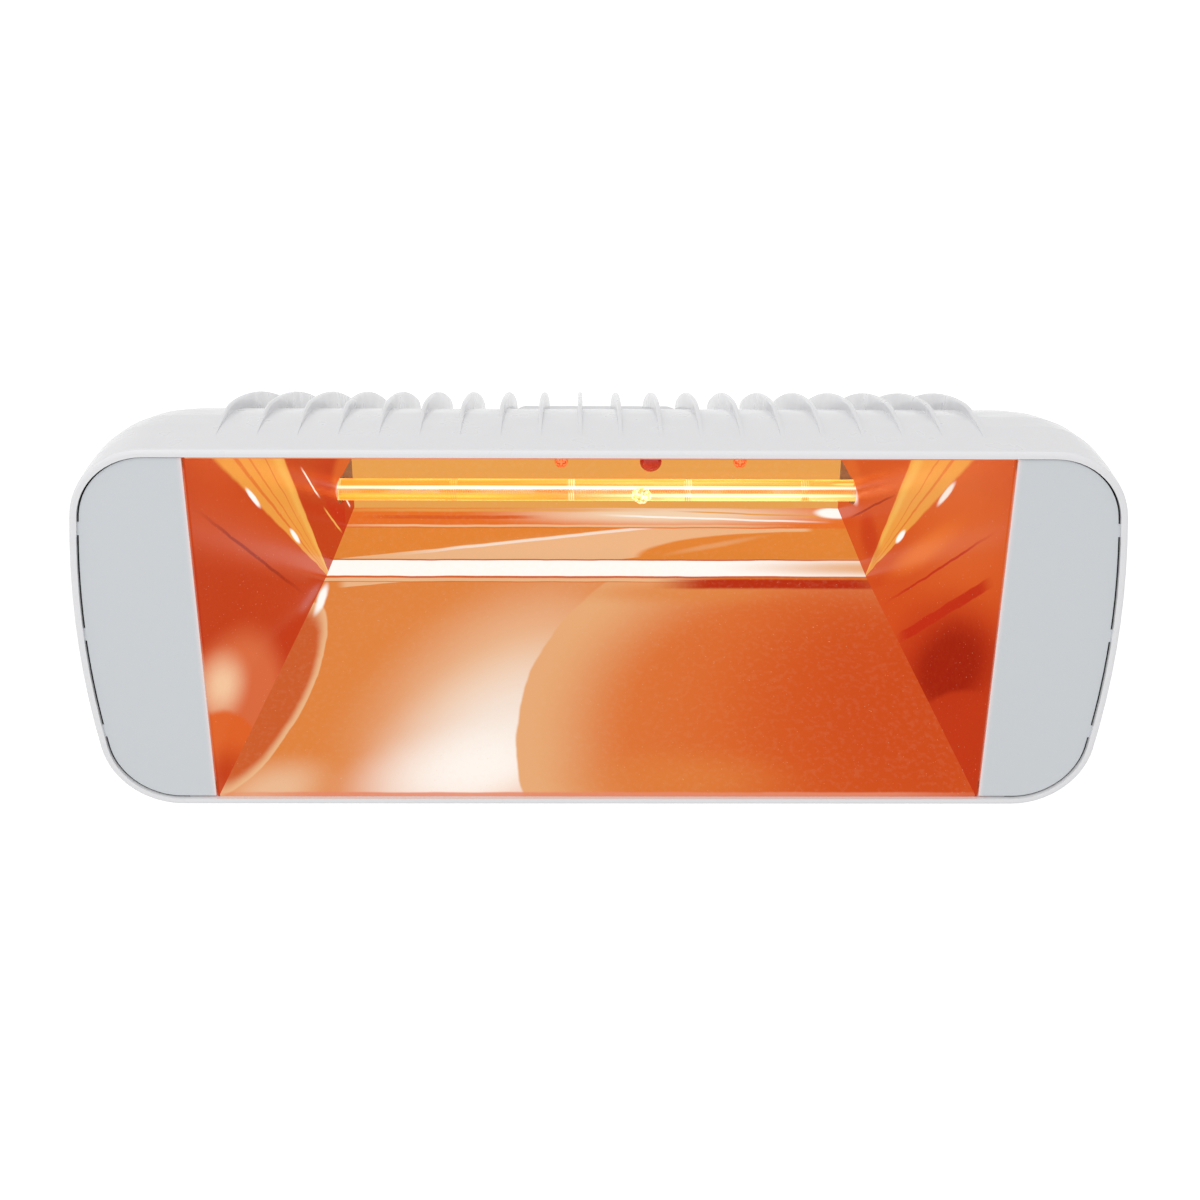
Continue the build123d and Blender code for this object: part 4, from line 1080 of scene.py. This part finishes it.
class HEATER_OT_wiring(bpy.types.Operator):
    """Finish the terminal block, its screws and the two leads"""

    bl_idname = "heater.wiring"
    bl_label = "Wiring"

    def execute(self, context):
        dress(moulded("block clay", (0.82, 0.79, 0.72), 0.45), "terminal_block")
        dress(bright_steel("terminal brass", (0.75, 0.53, 0.22), 0.28), "terminal_screws", "earth_screw")
        dress(bright_steel("block zinc"), "block_screws")
        sleeve, tree, shader = new_material("woven sleeve", (0.72, 0.66, 0.56), 0.8)
        weave = add(tree, "ShaderNodeTexWave", {"wave_type": "BANDS", "bands_direction": "DIAGONAL"},
                    {"Vector": object_place(tree), "Scale": 900.0, "Distortion": 2.0})
        add_bump(tree, shader, weave.outputs[1], 0.2 * MM)
        dress(sleeve, *both_sides("lamp_lead"))
        return {"FINISHED"}


# Fittings of the back strip


def cross_head(bm, centre, radius, height, recess):
    """Pan head that faces -Y, with a cross recess of a given half width pressed into its crown."""
    sides, steps = 64, 18
    rim_share, rim_height = 0.94, 0.45
    arm_length = radius * 0.62
    recess_edge, recess_fall, recess_depth = 1.25, 3, 0.75
    rings = []
    for step in range(steps + 1):
        share = 1 - step / steps
        if share < rim_share:
            crown = height * (1 - rim_height * share ** 2)
        else:
            crown = height * rim_height * (1 - share) / (1 - rim_share)
        ring = []
        for point in ring_points(Vector((0, 0, 0)), Vector((1, 0, 0)), Vector((0, 0, 1)), radius * share,
                                 sides):
            x, z = abs(point.x), abs(point.z)
            arm = min(max(x / recess, z / arm_length), max(z / recess, x / arm_length))
            pressed = max(0.0, min(1.0, (recess_edge - arm) * recess_fall))
            sunk = height * recess_depth * pressed * (1 - 0.5 * share)
            ring.append(centre + point + Vector((0, sunk - crown, 0)))
        rings.append(ring)
    skin_rings(bm, rings)


class HEATER_OT_back_strip(bpy.types.Operator):
    """Set the cross-head screws and the red plug in the reflector's back strip"""

    bl_idname = "heater.back_strip"
    bl_label = "Back strip fittings"

    def execute(self, context):
        low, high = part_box("reflector_screws")
        radius = (high.z - low.z) / 2
        seat = low.y + HEAD_HEIGHT * MM
        middle = (low.z + high.z) / 2
        shank = [(along * MM, SHANK_RADIUS * MM) for along in (0, SHANK_LENGTH)]

        def heads(bm):
            for x in (low.x + radius, high.x - radius):
                centre = Vector((x, seat, middle))
                cross_head(bm, centre, radius, HEAD_HEIGHT * MM, recess=radius * 0.2)
                lathe(bm, centre, Vector((0, 1, 0)), shank, SHANK_SIDES)

        # painted light: the screw heads give off mottled red light, which stands for the lamp's light on
        # them
        metal, tree, shader = new_material("zinc in painted lamp light", (0.75, 0.30, 0.14), 0.3, 1.0,
                                           emission_strength=0.5)
        mottled_glow(tree, shader, 500.0, 0.35, 0.65, RED, BURNT_ORANGE)
        screws = mesh_piece("reflector_cross_screws", heads, metal)
        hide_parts("reflector_screws")
        plug, tree, shader = new_material("red silicone", (0.48, 0.015, 0.012), 0.28, coat_weight=0.4,
                                          coat_roughness=0.1)
        add_skin(tree, shader, grain=1500.0, wave=300.0, share=0.4, depth=0.02 * MM, mottle=0.04)
        dress(plug, "reflector_plug")
        return {"FINISHED"}


# Wall bracket, pivot and gland


class HEATER_OT_wall_bracket(bpy.types.Operator):
    """Paint the wall fork and the knuckle, and lay the weld beads"""

    bl_idname = "heater.wall_bracket"
    bl_label = "Wall bracket"

    def execute(self, context):
        look = context.scene.heater_finish
        paint_coat = stoved_paint("bracket paint", look.bracket_colour, 0.35, 0.04 * MM, 0.5 * MM)
        dress(paint_coat, "wall_fork", "knuckle")
        low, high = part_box("wall_fork")
        disc_low, disc_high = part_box("friction_discs")
        ear = FORK_SHEET * MM
        plate_front = high.y - ear
        corner = (EAR_CORNER + WELD_GAP) * MM
        bottom = low.z + corner
        top = low.z + EAR_HEIGHT * MM - corner

        def beads(bm):
            for face_x in (disc_low.x, disc_low.x - ear, disc_high.x, disc_high.x + ear):
                rings = []
                for step in range(WELD_STEPS + 1):
                    z = bottom + (top - bottom) * step / WELD_STEPS
                    ripple = WELD_RIPPLE * abs(math.sin(step * math.pi / 3))
                    lump = WELD_LUMP * noise.noise(Vector((face_x * 900, z * 700, 0)))
                    swell = WELD_END_RADIUS if step in (0, WELD_STEPS) else WELD_RADIUS + ripple + lump
                    rings.append(ring_points(Vector((face_x, plate_front, z)), Vector((1, 0, 0)),
                                             Vector((0, 1, 0)), swell * MM, WELD_SIDES))
                skin_rings(bm, rings)

        mesh_piece("weld_beads", beads, paint_coat, body=BRACKET)
        return {"FINISHED"}


class HEATER_OT_pivot(bpy.types.Operator):
    """Finish the pivot's bolt, nut, washers and friction discs"""

    bl_idname = "heater.pivot"
    bl_label = "Pivot"

    def execute(self, context):
        dress(bright_steel("stainless", (0.62, 0.62, 0.63), 0.26), "pivot_bolt", "pivot_nut",
              "pivot_washers", "knuckle_screws")
        dress(moulded("friction nylon", (0.55, 0.54, 0.50), 0.5), "friction_discs")
        return {"FINISHED"}


class HEATER_OT_gland(bpy.types.Operator):
    """Finish the cable gland and its seal"""

    bl_idname = "heater.gland"
    bl_label = "Cable gland"

    def execute(self, context):
        dress(moulded("gland nylon", (0.70, 0.71, 0.70), 0.38), "gland_body", "gland_nut")
        dress(moulded("seal rubber", (0.02, 0.02, 0.022), 0.65), "gland_seal")
        return {"FINISHED"}


# Stage


def area_lamp(name, offset, size, power):
    """Soft lamp at an offset from the middle of the open face, which it shines on."""
    data = bpy.data.lights.new(name, "AREA")
    data.shape = "SQUARE"
    data.size = size
    data.energy = power
    lamp = bpy.data.objects.new(name, data)
    lamp.location = FACE_CENTRE + Vector(offset)
    lamp.rotation_euler = (-Vector(offset)).to_track_quat("-Z", "Y").to_euler()
    bpy.context.scene.collection.objects.link(lamp)


def seen_directly(tree):
    """1 where the camera, a reflection or a view through glass meets the surface."""
    path = add(tree, "ShaderNodeLightPath")
    seen = math_node(tree, "MAXIMUM", path.outputs["Is Camera Ray"], path.outputs["Is Glossy Ray"])
    return math_node(tree, "MAXIMUM", seen, path.outputs["Is Transmission Ray"])


def pale_floor(stage):
    """Floor far under the heater that shows pale and keeps its shadow."""
    half = stage.floor_size / 2
    corners = [(-half, -half, 0), (half, -half, 0), (half, half, 0), (-half, half, 0)]
    mesh = bpy.data.meshes.new("floor")
    mesh.from_pydata(corners, [], [(0, 1, 2, 3)])
    floor = bpy.data.objects.new("floor", mesh)
    floor.location.z = -stage.floor_drop
    bpy.context.scene.collection.objects.link(floor)
    material = bpy.data.materials.new("pale floor")
    material.use_nodes = True
    tree = material.node_tree
    shader = tree.nodes["Principled BSDF"]
    shader.inputs["Base Color"].default_value = (0.8, 0.8, 0.8, 1.0)
    shader.inputs["Roughness"].default_value = 0.9
    glow = add(tree, "ShaderNodeEmission", None, {"Color": (1, 1, 1, 1), "Strength": FLOOR_GLOW})
    both = add(tree, "ShaderNodeAddShader", None, {0: shader.outputs[0], 1: glow.outputs[0]})
    choice = add(tree, "ShaderNodeMixShader", None, {0: seen_directly(tree), 1: shader.outputs[0],
                                                     2: both.outputs[0]})
    tree.links.new(choice.outputs[0], tree.nodes["Material Output"].inputs["Surface"])
    mesh.materials.append(material)


def even_light(stage):
    """World that lights evenly and shows white."""
    world = bpy.data.worlds.new("even light")
    bpy.context.scene.world = world
    world.use_nodes = True
    tree = world.node_tree
    back = tree.nodes["Background"]
    back.inputs["Color"].default_value = (1, 1, 1, 1)
    level = add(tree, "ShaderNodeMix", {"data_type": "FLOAT"},
                {0: seen_directly(tree), 2: stage.sky, 3: 1.0})
    tree.links.new(level.outputs[0], back.inputs["Strength"])


def set_camera(stage):
    """Camera that looks down at the open face, a little turned and rolled."""
    level_ahead = Vector((math.sin(stage.turn), math.cos(stage.turn), 0))
    ahead = level_ahead * math.cos(stage.tilt) - Vector((0, 0, math.sin(stage.tilt)))
    right = Vector((math.cos(stage.turn), -math.sin(stage.turn), 0))
    up = right.cross(ahead)
    rolled_right = right * math.cos(stage.roll) - up * math.sin(stage.roll)
    rolled_up = right * math.sin(stage.roll) + up * math.cos(stage.roll)
    data = bpy.data.cameras.new("camera")
    data.lens = stage.lens
    data.sensor_width = SENSOR_WIDTH
    data.shift_y = stage.shift
    data.clip_start = 0.01
    data.clip_end = 100.0
    camera = bpy.data.objects.new("camera", data)
    axes = Matrix((rolled_right, rolled_up, -ahead)).transposed().to_4x4()
    place = FACE_CENTRE + Vector((stage.side, 0, 0)) - ahead * stage.distance
    camera.matrix_world = Matrix.Translation(place) @ axes
    bpy.context.scene.collection.objects.link(camera)
    bpy.context.scene.camera = camera


class HEATER_OT_stage(bpy.types.Operator):
    """Set the pale floor, the soft light and the camera"""

    bl_idname = "heater.stage"
    bl_label = "Stage"

    def execute(self, context):
        stage = context.scene.heater_stage
        pale_floor(stage)
        even_light(stage)
        area_lamp(*KEY_LAMP, stage.key)
        for lamp in FILL_LAMPS:
            area_lamp(*lamp, stage.fill)
        set_camera(stage)
        context.scene.view_settings.view_transform = "Standard"
        return {"FINISHED"}


# Add-on


OPERATORS = [
    HEATER_OT_stage,
    HEATER_OT_casting,
    HEATER_OT_side_panels,
    HEATER_OT_reflector,
    HEATER_OT_quartz_tube,
    HEATER_OT_filament,
    HEATER_OT_lamp_ends,
    HEATER_OT_back_strip,
    HEATER_OT_wiring,
    HEATER_OT_wall_bracket,
    HEATER_OT_pivot,
    HEATER_OT_gland,
]


class HEATER_PT_sidebar(bpy.types.Panel):
    """Lists the heater's operators and the sizes that they use"""

    bl_idname = "HEATER_PT_sidebar"
    bl_label = "Infrared wall heater"
    bl_space_type = "VIEW_3D"
    bl_region_type = "UI"
    bl_category = "Heater"

    def draw(self, context):
        for operator in OPERATORS:
            self.layout.operator(operator.bl_idname)
        scene = context.scene
        for settings in (scene.heater_finish, scene.heater_lamp, scene.heater_stage):
            box = self.layout.box()
            for name in settings.__annotations__:
                box.prop(settings, name)


SETTINGS = [HeaterFinish, HeaterLamp, HeaterStage]


def register():
    for cls in (*SETTINGS, *OPERATORS, HEATER_PT_sidebar):
        bpy.utils.register_class(cls)
    bpy.types.Scene.heater_finish = PointerProperty(type=HeaterFinish)
    bpy.types.Scene.heater_lamp = PointerProperty(type=HeaterLamp)
    bpy.types.Scene.heater_stage = PointerProperty(type=HeaterStage)


def unregister():
    del bpy.types.Scene.heater_stage
    del bpy.types.Scene.heater_lamp
    del bpy.types.Scene.heater_finish
    for cls in reversed((*SETTINGS, *OPERATORS, HEATER_PT_sidebar)):
        bpy.utils.unregister_class(cls)


def main():
    register()
    for operator in OPERATORS:
        group_name, action = operator.bl_idname.split(".")
        getattr(getattr(bpy.ops, group_name), action)()


if __name__ == "__main__":
    main()
